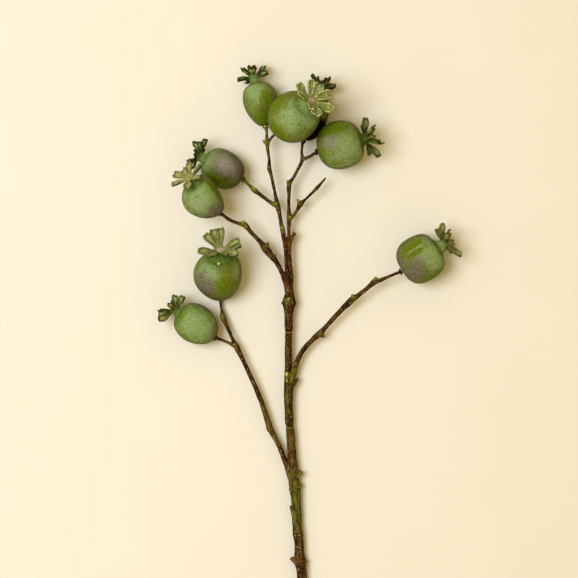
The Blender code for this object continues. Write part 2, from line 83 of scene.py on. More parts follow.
# Table top and daylight.
# The spray lies on a smooth cream table. A broad window lights it from the upper left, and the
# room gives back a warm light from all sides, which colours the shadows.

MM = 0.001
TABLE_SIZE = 6.0
TABLE_CREAM = (0.795, 0.785, 0.745, 1)
TABLE_PALE_CREAM = (0.803, 0.795, 0.758, 1)
WINDOW_FROM = Vector((-0.45, 0.10, 1.0))
WINDOW_OVER = Vector((-0.01, 0.25, 0.0))
WINDOW_DISTANCE = 2.0
WINDOW_SIZE = 1.1
WINDOW_POWER = 32.0
WINDOW_COLOUR = (0.905, 0.92, 0.945)
SKY_STRENGTH = 0.62
SKY_COLOUR = (1.0, 0.745, 0.29, 1)


def display(red, green, blue):
    """A colour as the eye reads it on a screen, 0 to 255, as the linear light that a surface gives back."""
    def linear(value):
        share = value / 255
        return share / 12.92 if share <= 0.04045 else ((share + 0.055) / 1.055) ** 2.4
    return (linear(red), linear(green), linear(blue), 1.0)


class Shade:
    """One output of a material's nodes. Sums, products and the like of outputs add Math nodes."""

    def __init__(self, tree, output=None):
        self.tree = tree
        self.output = output

    def node(self, kind, settings, sockets, output=0):
        """A new node: its settings are made first, then the values or links of its sockets."""
        made = self.tree.nodes.new("ShaderNode" + kind)
        for name, value in settings.items():
            setattr(made, name, value)
        for name, value in sockets.items():
            if isinstance(value, Shade):
                self.tree.links.new(value.output, made.inputs[name])
            else:
                made.inputs[name].default_value = value
        return Shade(self.tree, made.outputs[output])

    def math(self, operation, *values):
        return self.node("Math", {"operation": operation}, dict(enumerate(values)))

    def __add__(self, other):
        return self.math("ADD", self, other)

    def __sub__(self, other):
        return self.math("SUBTRACT", self, other)

    def __rsub__(self, other):
        return self.math("SUBTRACT", other, self)

    def __mul__(self, other):
        return self.math("MULTIPLY", self, other)

    __radd__ = __add__
    __rmul__ = __mul__

    def step(self, low, high):
        """0 below low, 1 above high, and smooth between."""
        settings = {"interpolation_type": "SMOOTHSTEP"}
        return self.node("MapRange", settings, {"Value": self, "From Min": low, "From Max": high})

    def mix(self, first, second):
        """The first colour where this mask is 0, and the second where it is 1."""
        return self.node("Mix", {"data_type": "RGBA"}, {0: self, 6: first, 7: second}, output=2)

    def place(self):
        return self.node("TexCoord", {}, {}, output="Object")

    def mark(self, name, output="Fac"):
        """A value that the mesh carries at each of its points."""
        return self.node("Attribute", {"attribute_name": name}, {}, output=output)

    def grain(self, size, detail=3.0, roughness=0.55, where=None):
        """Soft noise whose patches are about this many millimetres across."""
        return self.node("TexNoise", {"noise_dimensions": "3D"}, {
            "Vector": where or self.place(),
            "Scale": 1 / (size * MM),
            "Detail": detail,
            "Roughness": roughness,
        })

    def stretched(self, where, x, y, z):
        return self.node("VectorMath", {"operation": "MULTIPLY"}, {0: where, 1: (x, y, z)})

    def relief(self, height, depth):
        """Surface relief from a height of 0 to 1, this many millimetres deep."""
        return self.node("Bump", {}, {"Height": height, "Distance": depth * MM, "Strength": 1.0})


def new_finish(name, roughness, gloss):
    """A material, the shade that its nodes start from, and its shader's sockets."""
    made = bpy.data.materials.new(name)
    made.use_nodes = True
    shader = made.node_tree.nodes["Principled BSDF"]
    shader.inputs["Roughness"].default_value = roughness
    shader.inputs["Specular IOR Level"].default_value = gloss
    return made, Shade(made.node_tree), shader.inputs


def feed(shade, socket):
    shade.tree.links.new(shade.output, socket)


def table_finish():
    made, shade, sockets = new_finish("smooth_cream_table", 0.8, 0.3)
    mottle = shade.grain(60, 2.0).step(0.3, 0.7)
    feed(mottle.mix(TABLE_CREAM, TABLE_PALE_CREAM), sockets["Base Color"])
    feed(shade.relief(shade.grain(0.8, 2.0), 0.01), sockets["Normal"])
    return made


maker = bmesh.new()
bmesh.ops.create_grid(maker, x_segments=1, y_segments=1, size=TABLE_SIZE / 2)
table_mesh = bpy.data.meshes.new("table_top")
maker.to_mesh(table_mesh)
maker.free()
table_mesh.materials.append(table_finish())
table_top = add_object("table_top", table_mesh)

window = add_object("window_light", bpy.data.lights.new("window_light", "AREA"))
window.data.shape = "DISK"
window.data.size = WINDOW_SIZE
window.data.energy = WINDOW_POWER
window.data.color = WINDOW_COLOUR
window.location = WINDOW_OVER + WINDOW_FROM.normalized() * WINDOW_DISTANCE
window.rotation_euler = (-WINDOW_FROM).to_track_quat("-Z", "Y").to_euler()

sky = bpy.data.worlds.new("soft_room_light")
sky.use_nodes = True
sky.node_tree.nodes["Background"].inputs["Color"].default_value = SKY_COLOUR
sky.node_tree.nodes["Background"].inputs["Strength"].default_value = SKY_STRENGTH
bpy.context.scene.world = sky
bpy.context.scene.view_settings.view_transform = "Standard"


# Branch.
# The woody stem, its arms and twigs grew as one piece. Its bark is dark brown, with olive
# green nodes and buds, dark rings where shoots began, and pale wood at the cut ends.
# Painted shade makes the sides that turn away from up near black, and painted light makes
# the side that faces the window olive.

GAP = 0.3
COLLAR_HEIGHT = 1.5
COLLAR_RADIUS = 2.6
COLLAR_STEM_RADIUS = 1.3
TOOTH_LENGTH = 2.4
TOOTH_RADIUS = 0.75
TOOTH_LEAN = 0.4
COLLAR_SIDES = 28
TOOTH_SIDES = 12
BUD_SHAPE = (1.45, 0.85, 0.8, 1)
CUT_SLANT = 0.45
CUT_PLACE = Vector((1.0, -8.0, 4.4))
RING_SPACING = 1.6
STEM_SIDES = 20
TWIG_SIDES = 14
THINNEST = 0.15
BARK_VOXEL = 0.47
BARK_RIDGE = 0.24
BARK_KNOB = 0.24
FADE_REACH = 2.2
SHOOT_GROOVE = 0.28
# Share of olive painted as light on the bark's side that faces the window.
LIT_SIDE_OLIVE = 0.38
FLOOR_GAP = 0.02
UP = Vector((0, 0, 1))

# Routes: x, y, z of the middle line in millimetres, and the thickness there.
MAIN_STEM = [
    (1, -9.5, 4.4, 9.5), (0, 22.5, 4.4, 9.1), (-0.9, 53, 4.6, 8.5), (-1.6, 77, 4.8, 7.6),
    (-2.4, 88.5, 5, 7.7), (-3.2, 94, 5, 9.1), (-3.7, 100.5, 5.1, 7.3), (-3.9, 109, 5.2, 7),
    (-4.5, 113.2, 5.3, 8), (-5.2, 119.5, 5.3, 7.4), (-5.9, 132.5, 5.5, 7.4), (-6.3, 141.5, 5.6, 7.4),
    (-7, 148.5, 5.7, 8.5), (-7.6, 155, 5.8, 8.3), (-8.2, 163, 5.9, 7.4), (-9.4, 176, 6, 6.7),
    (-10.7, 193.2, 6.3, 6.5), (-11, 196.1, 6.3, 5.6), (-11.3, 200, 6.4, 6.5), (-11.7, 210, 6.5, 6.4),
    (-11.9, 218, 6.7, 6.8), (-11.7, 226, 6.9, 7.6), (-11.7, 232.5, 7, 6.7), (-12, 241.5, 7.2, 5.5),
    (-12, 255.5, 7.4, 5.4), (-11.7, 267.8, 7.8, 5.4), (-11.7, 269.7, 7.8, 6.4), (-11.7, 274.3, 7.9, 6.2),
    (-11.6, 282, 8.1, 7), (-11.5, 287, 8.3, 9.1), (-11.5, 290.5, 8.4, 10.3), (-11.3, 293.6, 8.5, 8.3),
    (-11.1, 298.5, 8.7, 6.1),
]
RIGHT_LEADER = [
    (-10.7, 290, 8.4, 4.5), (-10, 299, 8.7, 3.5), (-9.8, 310, 9.1, 3.3), (-10.7, 320.5, 9.4, 3.1),
    (-11.3, 329.5, 9.8, 3.2), (-11.3, 335.5, 10, 3.8), (-11.7, 342.5, 10.2, 2.6), (-11.3, 353, 10.6, 3.8),
    (-11.7, 362, 11, 2.7), (-11.5, 371, 11.4, 2.9), (-11.5, 378, 11.7, 3.8), (-10.1, 381.2, 11.8, 2.9),
    (-7.3, 385.6, 12, 2.5), (-2.4, 394.8, 12.4, 2.9), (-1.3, 398.5, 12.6, 3.6),
]
LEFT_LEADER = [
    (-11.7, 290, 8.8, 4.2), (-11.7, 301, 9.6, 3.3), (-12.7, 310, 10.4, 2.9), (-13.8, 320, 10.8, 2.6),
    (-14.4, 331, 11, 2.7), (-16.2, 344, 11.3, 3.8), (-17.5, 350, 11.5, 3.2), (-18.7, 357, 11.8, 3.3),
    (-20.1, 362.7, 12.2, 4.2), (-21.8, 371, 12.6, 2.7), (-24.8, 385.5, 13.3, 2.6),
    (-26.4, 390.8, 13.6, 3.5), (-26.4, 397.5, 13.9, 2.4), (-27.5, 405, 14.3, 2.6),
    (-27.9, 410, 14.6, 3.5),
]
RIGHT_ARM = [
    (-11.3, 223, 6.9, 5.3), (-9.6, 230.5, 7.2, 4.8), (-5.2, 245.5, 8.1, 4), (0, 254.8, 8.8, 4),
    (7, 262.3, 9.7, 4.2), (11.8, 266.3, 10.2, 5.3), (15.2, 270, 10.5, 3.8), (25.7, 281.8, 11.8, 3.8),
    (36.2, 292, 13, 5.3), (40.4, 294.9, 13.3, 3.6), (47.9, 301, 14.3, 3.5), (53.4, 305.6, 15, 4.7),
    (57.8, 306.8, 15.3, 3.2), (65.5, 310.2, 16, 2.4),
]
LEFT_ARM = [
    (-12, 292.5, 9, 4.5), (-13, 300, 9.5, 3.9), (-15.9, 310, 10.5, 3.8), (-20.7, 320, 11.7, 3.9),
    (-24.2, 324.2, 12.3, 4.9), (-29.5, 331, 13.5, 6), (-33.4, 335.8, 14.5, 3.6), (-41.2, 344, 16.5, 3.5),
    (-44.7, 348.2, 17.5, 4.5), (-48.8, 349.2, 18.7, 2.9), (-55.7, 351.8, 21.2, 2.7),
]
LOWER_ARM = [
    (-7.5, 146, 5.8, 4.5), (-9.6, 154.5, 5.9, 4.8), (-13.3, 166, 6.1, 4), (-18.3, 179.5, 6.5, 3.8),
    (-22.3, 187.5, 6.7, 4), (-26.2, 194.8, 7, 4.9), (-27.9, 201, 7.1, 4.4), (-35, 221.3, 7.6, 3.9),
    (-46.2, 246, 8.2, 3.6), (-51.4, 256.4, 8.5, 4.5), (-53.6, 261, 8.5, 2.9), (-59.2, 273.5, 7.4, 3.2),
    (-61.4, 278.4, 6.4, 4.2), (-62.5, 284.1, 5, 2.3), (-63.2, 288.5, 4.1, 2.3),
]
BARE_TWIG = [
    (-11.3, 352, 10.6, 3), (-8.6, 354.7, 10.8, 2.5), (-4.9, 360.3, 11.3, 2.7), (-3, 364, 11.8, 4.5),
    (0.2, 367, 12.1, 2.3), (6.2, 372.8, 12.5, 2.3), (9.6, 376.2, 12.8, 3), (11.7, 378.6, 13, 2.3),
    (16.4, 383.9, 13.3, 1.5),
]
SEATED_TWIGS = {
    "right": RIGHT_ARM,
    "left_front": LEFT_ARM,
    "middle_left": LOWER_ARM,
    "lower_left": [(-51.3, 255.7, 8.5, 3.4), (-56.1, 258.8, 9.5, 2.4), (-62.5, 261.6, 11.2, 2.3)],
    "left_back": [(-20, 362, 12.2, 3.4), (-24.2, 364.5, 12.6, 3), (-34.1, 371.8, 13.2, 2.9),
                  (-36.9, 374, 13.3, 4.4), (-40.9, 377.6, 13.3, 2.4)],
    "top_left": [(-28, 409.3, 14.6, 3), (-28.2, 416.1, 14.9, 2.3)],
    "front": [(-27.6, 408.6, 14.6, 2.7), (-26.1, 412, 16.8, 2.3), (-23.1, 415.2, 22, 2.1)],
    "back": [(-1.5, 398.1, 12.6, 3), (-1.8, 404.9, 12.9, 2.1)],
    "top_right": [(-1.1, 397.9, 12.6, 3), (4, 399.8, 14, 2.4)],
}
STUBS = [
    [(-10.7, 334.8, 10, 2.7), (-8.3, 340, 10.4, 2.7), (-7.1, 342.8, 10.7, 3.3)],
    [(-7, 157, 6.5, 3.5), (-4, 159.5, 7, 3.3), (-2, 162.2, 7.3, 3.3)],
    [(-6.8, 124, 6.5, 3.5), (-8.6, 131, 7.5, 3), (-9.6, 136, 8, 3.2)],
    [(-5, 92, 5.5, 4), (-8, 94.5, 5.8, 3.3), (-9.9, 96.6, 6, 3.3)],
    [(-3, 91.5, 5.3, 4), (0.3, 93, 5.5, 3.3), (1.8, 94.6, 5.6, 2.8)],
    [(-8.5, 226.5, 7, 3), (-6, 230, 7.5, 2), (-4.4, 232.6, 7.8, 1.9)],
    [(-5, 149, 6, 4), (-2.5, 152.6, 6.3, 3.3)],
    [(-8, 145.5, 6, 4), (-10.9, 149, 6, 2.8)],
    [(-9.5, 287.5, 8.4, 4.5), (-6.6, 290.6, 8.6, 3)],
    [(-13.5, 287.5, 8.4, 4.5), (-16.5, 290.6, 8.6, 3)],
]

# Buds and leaf scars: centre, radius across, the way each one points in plan, and how pale its tip is.
BUDS = [
    (-11.9, 291.8, 12, 1.3, 90, 1), (-13.2, 234.5, 9, 2, 92, 1), (-13, 229.8, 9.2, 1.3, 92, 0.9),
    (-16.6, 345.4, 12.3, 1.5, 110, 0.4), (-10.9, 353.4, 11.8, 1.5, 80, 0.4),
    (-11.9, 380.2, 12.6, 1.6, 110, 0.4), (-26.6, 391.3, 14.6, 1.4, 105, 0.4),
    (-30, 410.8, 14.7, 1.4, 130, 0.5), (-37.4, 375, 14.3, 1.8, 130, 0.5),
    (-45.4, 349.6, 18.9, 1.7, 120, 0.5), (-28.2, 332.8, 14.8, 1.9, 60, 0.3),
    (-22.6, 324.2, 13.4, 1.7, 60, 0.2), (37, 294, 14.2, 1.8, 120, 0.4), (53.8, 307.2, 15.8, 1.7, 90, 0.4),
    (-52, 257.6, 9.6, 1.6, 120, 0.2), (-62.8, 278.6, 6.9, 1.4, 130, 0.3),
    (-20.9, 363.8, 13.4, 1.5, 120, 0.5), (13.6, 264.6, 10.4, 1.7, 330, 0.2),
    (-4.2, 365.8, 12.2, 1.6, 120, 0.4), (10.2, 376.2, 13.2, 1.1, 60, 0.2), (-8.8, 242, 7.8, 1.5, 60, 0.3),
    (-12.3, 199, 8.5, 1.3, 100, 0.2), (-6.6, 112.9, 8.4, 0.8, 95, 0.8), (-3.9, 113.3, 8.6, 0.8, 95, 0.9),
    (-29.6, 421.9, 16.2, 1.2, 100, 1), (-26.9, 422.4, 15.6, 1, 60, 0.9),
]

# Dark rings round the stem, where one year's shoot ends and the next begins: y, width.
SHOOT_RINGS = [(196.3, 0.8), (268.6, 1.0), (112.2, 0.5)]

# Olive and lime parts of the bark: centre, reach, and strength.
GREEN_BARK = [
    (-12.3, 232.5, 8.5, 6.5, 1), (-12.4, 290.5, 11, 6.5, 0.6), (-7.3, 238, 8.5, 5, 0.6),
    (-6.5, 140, 9, 36, 0.62), (-11.8, 205, 9, 44, 0.36), (-39, 376, 13.5, 7, 0.95),
    (-44.5, 380.5, 13, 6, 0.8), (-21, 363, 13, 5, 0.85), (-27.8, 410, 15, 5.5, 0.95),
    (-29, 420, 15, 6, 0.7), (-45, 348.5, 18, 4.5, 0.7), (-29.5, 331, 14, 5, 0.65),
    (37, 293, 13.5, 5, 0.7), (53.6, 306, 15.5, 4.5, 0.7), (-16.5, 345, 12, 5, 0.8),
    (-11.5, 379, 12, 4.5, 0.6), (-1.2, 397, 13, 5, 0.6), (-26.5, 391, 14, 4, 0.6),
    (-11.3, 353, 11, 4, 0.55), (-61.5, 278.5, 6.5, 4.5, 0.6), (-52, 257, 9, 4.5, 0.5),
    (12.5, 266, 10.5, 4.5, 0.55), (-3.2, 364.5, 12, 3.5, 0.5),
]


class Head:
    """One seed head: where its base is, the way it points, and its shape, in millimetres and degrees.

    The heading is turned from +X in plan, and the rise is the slope of its middle line. The
    body is widest at a share of its length, and bows to the left of its heading. A ray has its
    turn round the middle line, its reach, the rise of its tip over the cup, and its width.
    """

    def __init__(self, name, base, heading, rise, body, neck, rays):
        self.name = name
        self.base = Vector(base)
        self.radius, self.body, self.widest, self.full_low, self.full_high = body
        self.neck_radius, self.neck, self.bow, self.roll = neck
        self.rays = rays
        level, turn = math.cos(math.radians(rise)), math.radians(heading)
        self.axis = Vector((level * math.cos(turn), level * math.sin(turn), math.sin(math.radians(rise))))
        self.height = self.body + self.neck
        turned = self.axis.to_track_quat("Z", "Y").to_matrix().to_4x4()
        self.place = Matrix.Translation(self.base * MM) @ turned
        self.top = self.place @ Matrix.Translation((0, 0, (self.height + GAP) * MM))


HEADS = [
    Head("top_left", (-29, 423.4, 14.4), 103.6, -4, (13.2, 32.5, 0.60, 1.7, 2), (3.8, 4, -0.8, 45), [
        (10, 12, -1.2, 3.8), (44, 10.1, 5.1, 4.2), (88, 9.5, 4.8, 4.8), (149, 11.7, -1.9, 4),
        (197, 10.2, 5, 4), (259, 10.2, 2, 4.2), (306, 10, -2.8, 3.6),
    ]),
    Head("front", (-18.6, 419, 29.5), 39.8, 44, (18.8, 35.5, 0.52, 2, 2.1), (4.9, 5, 0, 8), [
        (21, 16, 4, 5.3), (54, 14.8, 3.5, 4.6), (108, 14.5, 5, 4.8), (141, 15.7, 3, 6.2),
        (201, 15.4, 3.5, 5.6), (255, 15, 4.5, 5.2), (293, 12.9, 4.5, 5.8), (325, 13.9, 4.5, 4.4),
    ]),
    Head("back", (-0.6, 413, 12), 69.8, 0, (12.1, 35, 0.51, 1.9, 2), (3.9, 4.6, 0, 45), [
        (11, 10.6, 5, 3.8), (51, 9, 3.7, 4.2), (107, 7.3, 6.6, 4.2), (160, 8.8, 3.1, 4.2),
        (229, 9.2, 3, 4.2), (288, 9.5, 3, 4.2),
    ]),
    Head("top_right", (10.4, 403.4, 18.9), 14.4, 6, (18.2, 34, 0.50, 2.1, 2.2), (4.6, 2, 0.5, 45), [
        (334, 11.6, -2, 3.8), (15, 15.2, 1.2, 4.6), (50, 10.4, 6.8, 5.2), (135, 8.8, 9, 5.6),
        (172, 15.1, 4, 5), (208, 12.8, -2, 4.2), (280, 11.2, 3, 4.6),
    ]),
    Head("left_back", (-47, 383.2, 13), 151.9, 5, (14.6, 31.5, 0.54, 2, 2.05), (4, 4, 1, 45), [
        (162, 13.2, -0.5, 3.8), (138, 12, 2.2, 3.8), (202, 7.9, 5.8, 4.2), (237, 8.6, -2.4, 3.6),
        (38, 9.7, 3.1, 4.2), (349, 10.5, -1.4, 4.2), (95, 8.1, 2.3, 3.8),
    ]),
    Head("left_front", (-63.6, 357.6, 24.8), 131.7, 31, (14.5, 33, 0.63, 1.7, 2.1), (4, 4.2, 3.3, 12), [
        (348, 12.7, 2, 3.8), (62, 13.2, -1, 4.4), (112, 12.6, -1, 4), (156, 13, 2.5, 4.2),
        (231, 11.5, 2.5, 4.2), (263, 8.7, 2, 4), (297, 13.5, 2.5, 4.2),
    ]),
    Head("middle_left", (-63.5, 294.2, 4.8), 88.9, 38, (18.3, 37.3, 0.56, 1.7, 2.15), (4.8, 5, 1.9, 5), [
        (24, 17, 2.5, 4.8), (56, 13.5, 2, 5.2), (105, 11.5, 3, 4.6), (147, 15.6, 2.5, 4.4),
        (176, 14.8, 4, 4.2), (200, 14.5, 4.5, 4.6), (270, 16.8, 6, 5), (292, 16.5, 5.5, 4.8),
        (319, 15.2, 5, 4.8),
    ]),
    Head("lower_left", (-67.5, 263.6, 12), 144.9, 8, (14.6, 33, 0.54, 1.75, 2.05), (4, 2.5, 0, 45), [
        (156, 12.3, -1.1, 4.6), (204, 8.7, 4, 4.2), (104, 7.2, 2.9, 4.2), (44, 10, 8.5, 4.4),
        (13, 13.4, 3.6, 4.6), (334, 11.4, 5.8, 4.2), (262, 9.5, 3, 4.2),
    ]),
    Head("right", (73.8, 313.7, 16.3), 32.5, 4, (17.8, 32, 0.50, 2.45, 2.4), (4.9, 4, 0.3, 45), [
        (352, 13.7, 5.3, 3.8), (30, 14, -0.4, 4.2), (59, 11.7, 6.4, 5.2), (131, 11.9, 0.2, 4.2),
        (160, 14.6, 4.5, 4.8), (210, 12, 3.5, 4.2), (258, 12, 4.6, 4.4), (302, 12.5, 3, 4.4),
    ]),
]


def catmull_rom(before, start, end, after, share):
    """A point on the smooth curve from start to end, with its thickness as the last number."""
    return [
        0.5 * (2 * b + (c - a) * share + (2 * a - 5 * b + 4 * c - d) * share ** 2
               + (3 * b - a - 3 * c + d) * share ** 3)
        for a, b, c, d in zip(before, start, end, after)
    ]


def smooth_route(route, spacing):
    """Points along the route on one smooth curve, about a ring's spacing apart."""
    padded = [route[0], *route, route[-1]]
    points = []
    for before, start, end, after in zip(padded, padded[1:], padded[2:], padded[3:]):
        steps = max(1, round(math.dist(start[:3], end[:3]) / spacing))
        points += [catmull_rom(before, start, end, after, step / steps) for step in range(steps)]
    return [*points, route[-1]]


def sweep(maker, route, sides):
    """A closed round tube along a route: a ring of edges, extruded and moved from point to point."""
    points = smooth_route(route, RING_SPACING)
    places = [Vector(point[:3]) for point in points]
    pairs = zip([places[0], *places], [*places[1:], places[-1]])
    ways = [(after - before).normalized() for before, after in pairs]
    turn = ways[0].to_track_quat("Z", "Y")
    last, ring = None, None
    for place, way, point in zip(places, ways, points):
        turn = (turn @ UP).rotation_difference(way) @ turn
        size = max(THINNEST, point[3] / 2)
        here = Matrix.Translation(place * MM) @ turn.to_matrix().to_4x4() @ Matrix.Scale(size, 4)
        if ring is None:
            made = bmesh.ops.create_circle(maker, cap_ends=True, segments=sides, radius=MM, matrix=here)
            rim = set(made["verts"])
            ring = [edge for edge in maker.edges if edge.verts[0] in rim and edge.verts[1] in rim]
        else:
            made = bmesh.ops.extrude_edge_only(maker, edges=ring)
            rim = [part for part in made["geom"] if isinstance(part, bmesh.types.BMVert)]
            ring = [part for part in made["geom"] if isinstance(part, bmesh.types.BMEdge)]
            bmesh.ops.transform(maker, matrix=here @ last.inverted(), verts=rim)
        last = here
    bmesh.ops.holes_fill(maker, edges=ring)


def add_bud(maker, centre, radius, heading):
    """A small pointed bud that lies along its twig, half sunk in it."""
    lie = Matrix.Rotation(math.radians(heading), 4, "Z") @ Matrix.Diagonal(BUD_SHAPE)
    bmesh.ops.create_icosphere(maker, subdivisions=3, radius=radius * MM,
                               matrix=Matrix.Translation(Vector(centre) * MM) @ lie)


def add_collar(maker, head):
    """The flared cup at a twig's end that the capsule sits in, with the teeth left by its sepals."""
    drop = Matrix.Translation((0, 0, -(GAP + COLLAR_HEIGHT / 2) * MM))
    bmesh.ops.create_cone(maker, cap_ends=True, segments=COLLAR_SIDES,
                          radius1=COLLAR_STEM_RADIUS * MM, radius2=COLLAR_RADIUS * MM,
                          depth=COLLAR_HEIGHT * MM, matrix=head.place @ drop)
    draw = random.Random(head.name)
    teeth = draw.choice((3, 4))
    for number in range(teeth):
        outward = Matrix.Rotation(2 * math.pi * number / teeth + draw.uniform(-0.3, 0.3), 4, "Z")
        lean = Matrix.Rotation(math.pi / 2 + draw.uniform(0.0, TOOTH_LEAN), 4, "Y")
        shift = Matrix.Translation((0, 0, (0.35 * TOOTH_LENGTH + COLLAR_STEM_RADIUS) * MM))
        seat = Matrix.Translation((0, 0, -(GAP + TOOTH_RADIUS + 0.35) * MM))
        bmesh.ops.create_cone(maker, cap_ends=True, segments=TOOTH_SIDES, radius1=TOOTH_RADIUS * MM,
                              radius2=0.3 * TOOTH_RADIUS * MM, depth=TOOTH_LENGTH * MM,
                              matrix=head.place @ seat @ outward @ lean @ shift)


def clear_specks(shape):
    """Takes out all but the largest shell, because the skin leaves tiny loose ones in tight hollows."""
    left = set(shape.verts)
    shells = []
    while left:
        shell, rim = set(), {left.pop()}
        while rim:
            shell |= rim
            rim = {edge.other_vert(corner) for corner in rim for edge in corner.link_edges} - shell
        left -= shell
        shells.append(shell)
    largest = max(shells, key=len)
    specks = [corner for corner in shape.verts if corner not in largest]
    bmesh.ops.delete(shape, geom=specks, context="VERTS")


def grown_together(name, maker, voxel, smoothing):
    """One closed skin over overlapping shapes, as living tissue has, with its steps smoothed away."""
    bmesh.ops.recalc_face_normals(maker, faces=maker.faces)
    rough = bpy.data.meshes.new(name + "_rough")
    maker.to_mesh(rough)
    holder = add_object(name + "_rough", rough)
    skin = holder.modifiers.new("skin", "REMESH")
    skin.mode = "VOXEL"
    skin.voxel_size = voxel * MM
    graph = bpy.context.evaluated_depsgraph_get()
    mesh = bpy.data.meshes.new_from_object(holder.evaluated_get(graph))
    mesh.name = name
    bpy.data.objects.remove(holder)
    bpy.data.meshes.remove(rough)
    shape = bmesh.new()
    shape.from_mesh(mesh)
    clear_specks(shape)
    for _ in range(smoothing):
        bmesh.ops.smooth_vert(shape, verts=shape.verts, factor=0.5,
                              use_axis_x=True, use_axis_y=True, use_axis_z=True)
    return mesh, shape


def keep_marks(marks, here):
    """Adds one point's value of each mark to the list that this mark has."""
    for name, value in here.items():
        marks.setdefault(name, []).append(value)


def set_marks(mesh, marks):
    """Stores each mark's values on the points of the mesh, for its material to read."""
    for name, values in marks.items():
        mesh.attributes.new(name, "FLOAT", "POINT").data.foreach_set("value", values)


def set_places(mesh, name, places):
    """Stores a place in millimetres for each point of the mesh, for its material to read."""
    numbers = [number * MM for place in places for number in place]
    mesh.attributes.new(name, "FLOAT_VECTOR", "POINT").data.foreach_set("vector", numbers)


def finder_of(samples):
    """Finds the sample that is nearest to a place. Each sample starts with its own place."""
    finder = kdtree.KDTree(len(samples))
    for number, sample in enumerate(samples):
        finder.insert(sample[0], number)
    finder.balance()
    return finder


def ease(value, low, high):
    """0 below low, 1 above high, and smooth between."""
    share = min(1.0, max(0.0, (value - low) / (high - low)))
    return share * share * (3 - 2 * share)


def make_branch():
    maker = bmesh.new()
    twigs = [RIGHT_LEADER, LEFT_LEADER, BARE_TWIG]
    for head in HEADS:
        end = (*(head.base - head.axis * (GAP + COLLAR_HEIGHT / 2)), 2 * COLLAR_STEM_RADIUS)
        twigs.append([*SEATED_TWIGS[head.name], end])
    twigs += STUBS
    sweep(maker, MAIN_STEM, STEM_SIDES)
    for route in twigs:
        sweep(maker, route, TWIG_SIDES)
    for *centre, radius, heading, _ in BUDS:
        add_bud(maker, centre, radius, heading)
    for head in HEADS:
        add_collar(maker, head)
    mesh, shape = grown_together("branch_bark", maker, BARK_VOXEL, 2)
    maker.free()

    samples = []
    for route in [MAIN_STEM, *twigs]:
        points = smooth_route(route, RING_SPACING / 2)
        run = 0.0
        for number, point in enumerate(points):
            before, after = points[max(0, number - 1)], points[min(len(points) - 1, number + 1)]
            run += math.dist(point[:3], before[:3])
            way = (Vector(after[:3]) - Vector(before[:3])).normalized()
            samples.append((Vector(point[:3]), way, run))
        if route is MAIN_STEM:
            main_samples = len(samples)
    finder = finder_of(samples)

    cut_normal = Vector((0, -1, CUT_SLANT)).normalized()
    tips = [Vector(route[-1][:3]) for route in STUBS]
    greens = [(Vector(centre), reach, strength) for *centre, reach, strength in GREEN_BARK]
    buds = []
    for *centre, radius, heading, paleness in BUDS:
        turn = math.radians(heading)
        tip = Vector(centre) + 0.6 * radius * Vector((math.cos(turn), math.sin(turn), 0.9))
        buds.append((tip, radius, paleness))
    shape.normal_update()
    bark_places, marks = [], {}
    for corner in shape.verts:
        place = corner.co / MM
        _, number, distance = finder.find(place)
        middle, way, run = samples[number]
        side = place - middle
        along = run + side.dot(way)
        across = side - way * side.dot(way)
        aside = across.dot(way.cross(UP).normalized()) if abs(way.z) < 0.95 else across.x
        bark_place = Vector((aside, across.z, along))
        furrow = noise.noise(Vector((bark_place.x * 1.5, bark_place.y * 1.5, along * 0.16)))
        lump = noise.noise(place * 0.42)
        groove, under_ring = 0.0, 0.0
        if number < main_samples:
            for ring_place, width in SHOOT_RINGS:
                groove = max(groove, 1 - ease(abs(place.y - ring_place), 0.3 * width, width))
                below = abs(place.y - ring_place + 1.5 * width)
                under_ring = max(under_ring, width - ease(below, 0.2, 0.7))
        fade = min(1.0, distance / FADE_REACH)
        push = fade * (BARK_RIDGE * furrow + BARK_KNOB * lump) - SHOOT_GROOVE * groove
        corner.co += corner.normal * push * MM
        bark_places.append(bark_place)
        # Painted light: the side that faces the window is made olive.
        lit_side_olive = LIT_SIDE_OLIVE * ease(-corner.normal.x, 0.35, 0.8) * ease(corner.normal.z, -0.4, 0.1)
        end_face = ease((place - CUT_PLACE).dot(cut_normal), -0.35, 0.05)
        stub_face = max(1 - ease((place - tip).length, 0.9, 1.9) for tip in tips)
        keep_marks(marks, {
            "green": max(lit_side_olive, *(strength * (1 - ease((place - centre).length, 0.35 * reach, reach))
                                  for centre, reach, strength in greens)),
            "ring": groove,
            "band": under_ring,
            "cut": max(end_face, 0.45 * stub_face),
            "lime": max(paleness * (1 - ease((place - tip).length, 0.3 * radius, 0.8 * radius))
                        for tip, radius, paleness in buds),
            # Painted shade: bark that faces sideways or down is darkened.
            "flank": 1 - ease(corner.normal.z, 0.0, 0.85),
            "old": 1 - ease(place.y, 110, 270),
        })
    for corner in shape.verts:
        beyond = (corner.co / MM - CUT_PLACE).dot(cut_normal)
        if beyond > 0:
            corner.co -= cut_normal * beyond * MM
        corner.co.z = max(FLOOR_GAP * MM, corner.co.z)
    shape.to_mesh(mesh)
    shape.free()
    set_places(mesh, "bark_place", bark_places)
    set_marks(mesh, marks)
    mesh.materials.append(bark_finish())
    mesh.shade_smooth()
    made = add_object("branch_bark", mesh)
    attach(made, "root")
    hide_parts("branch")


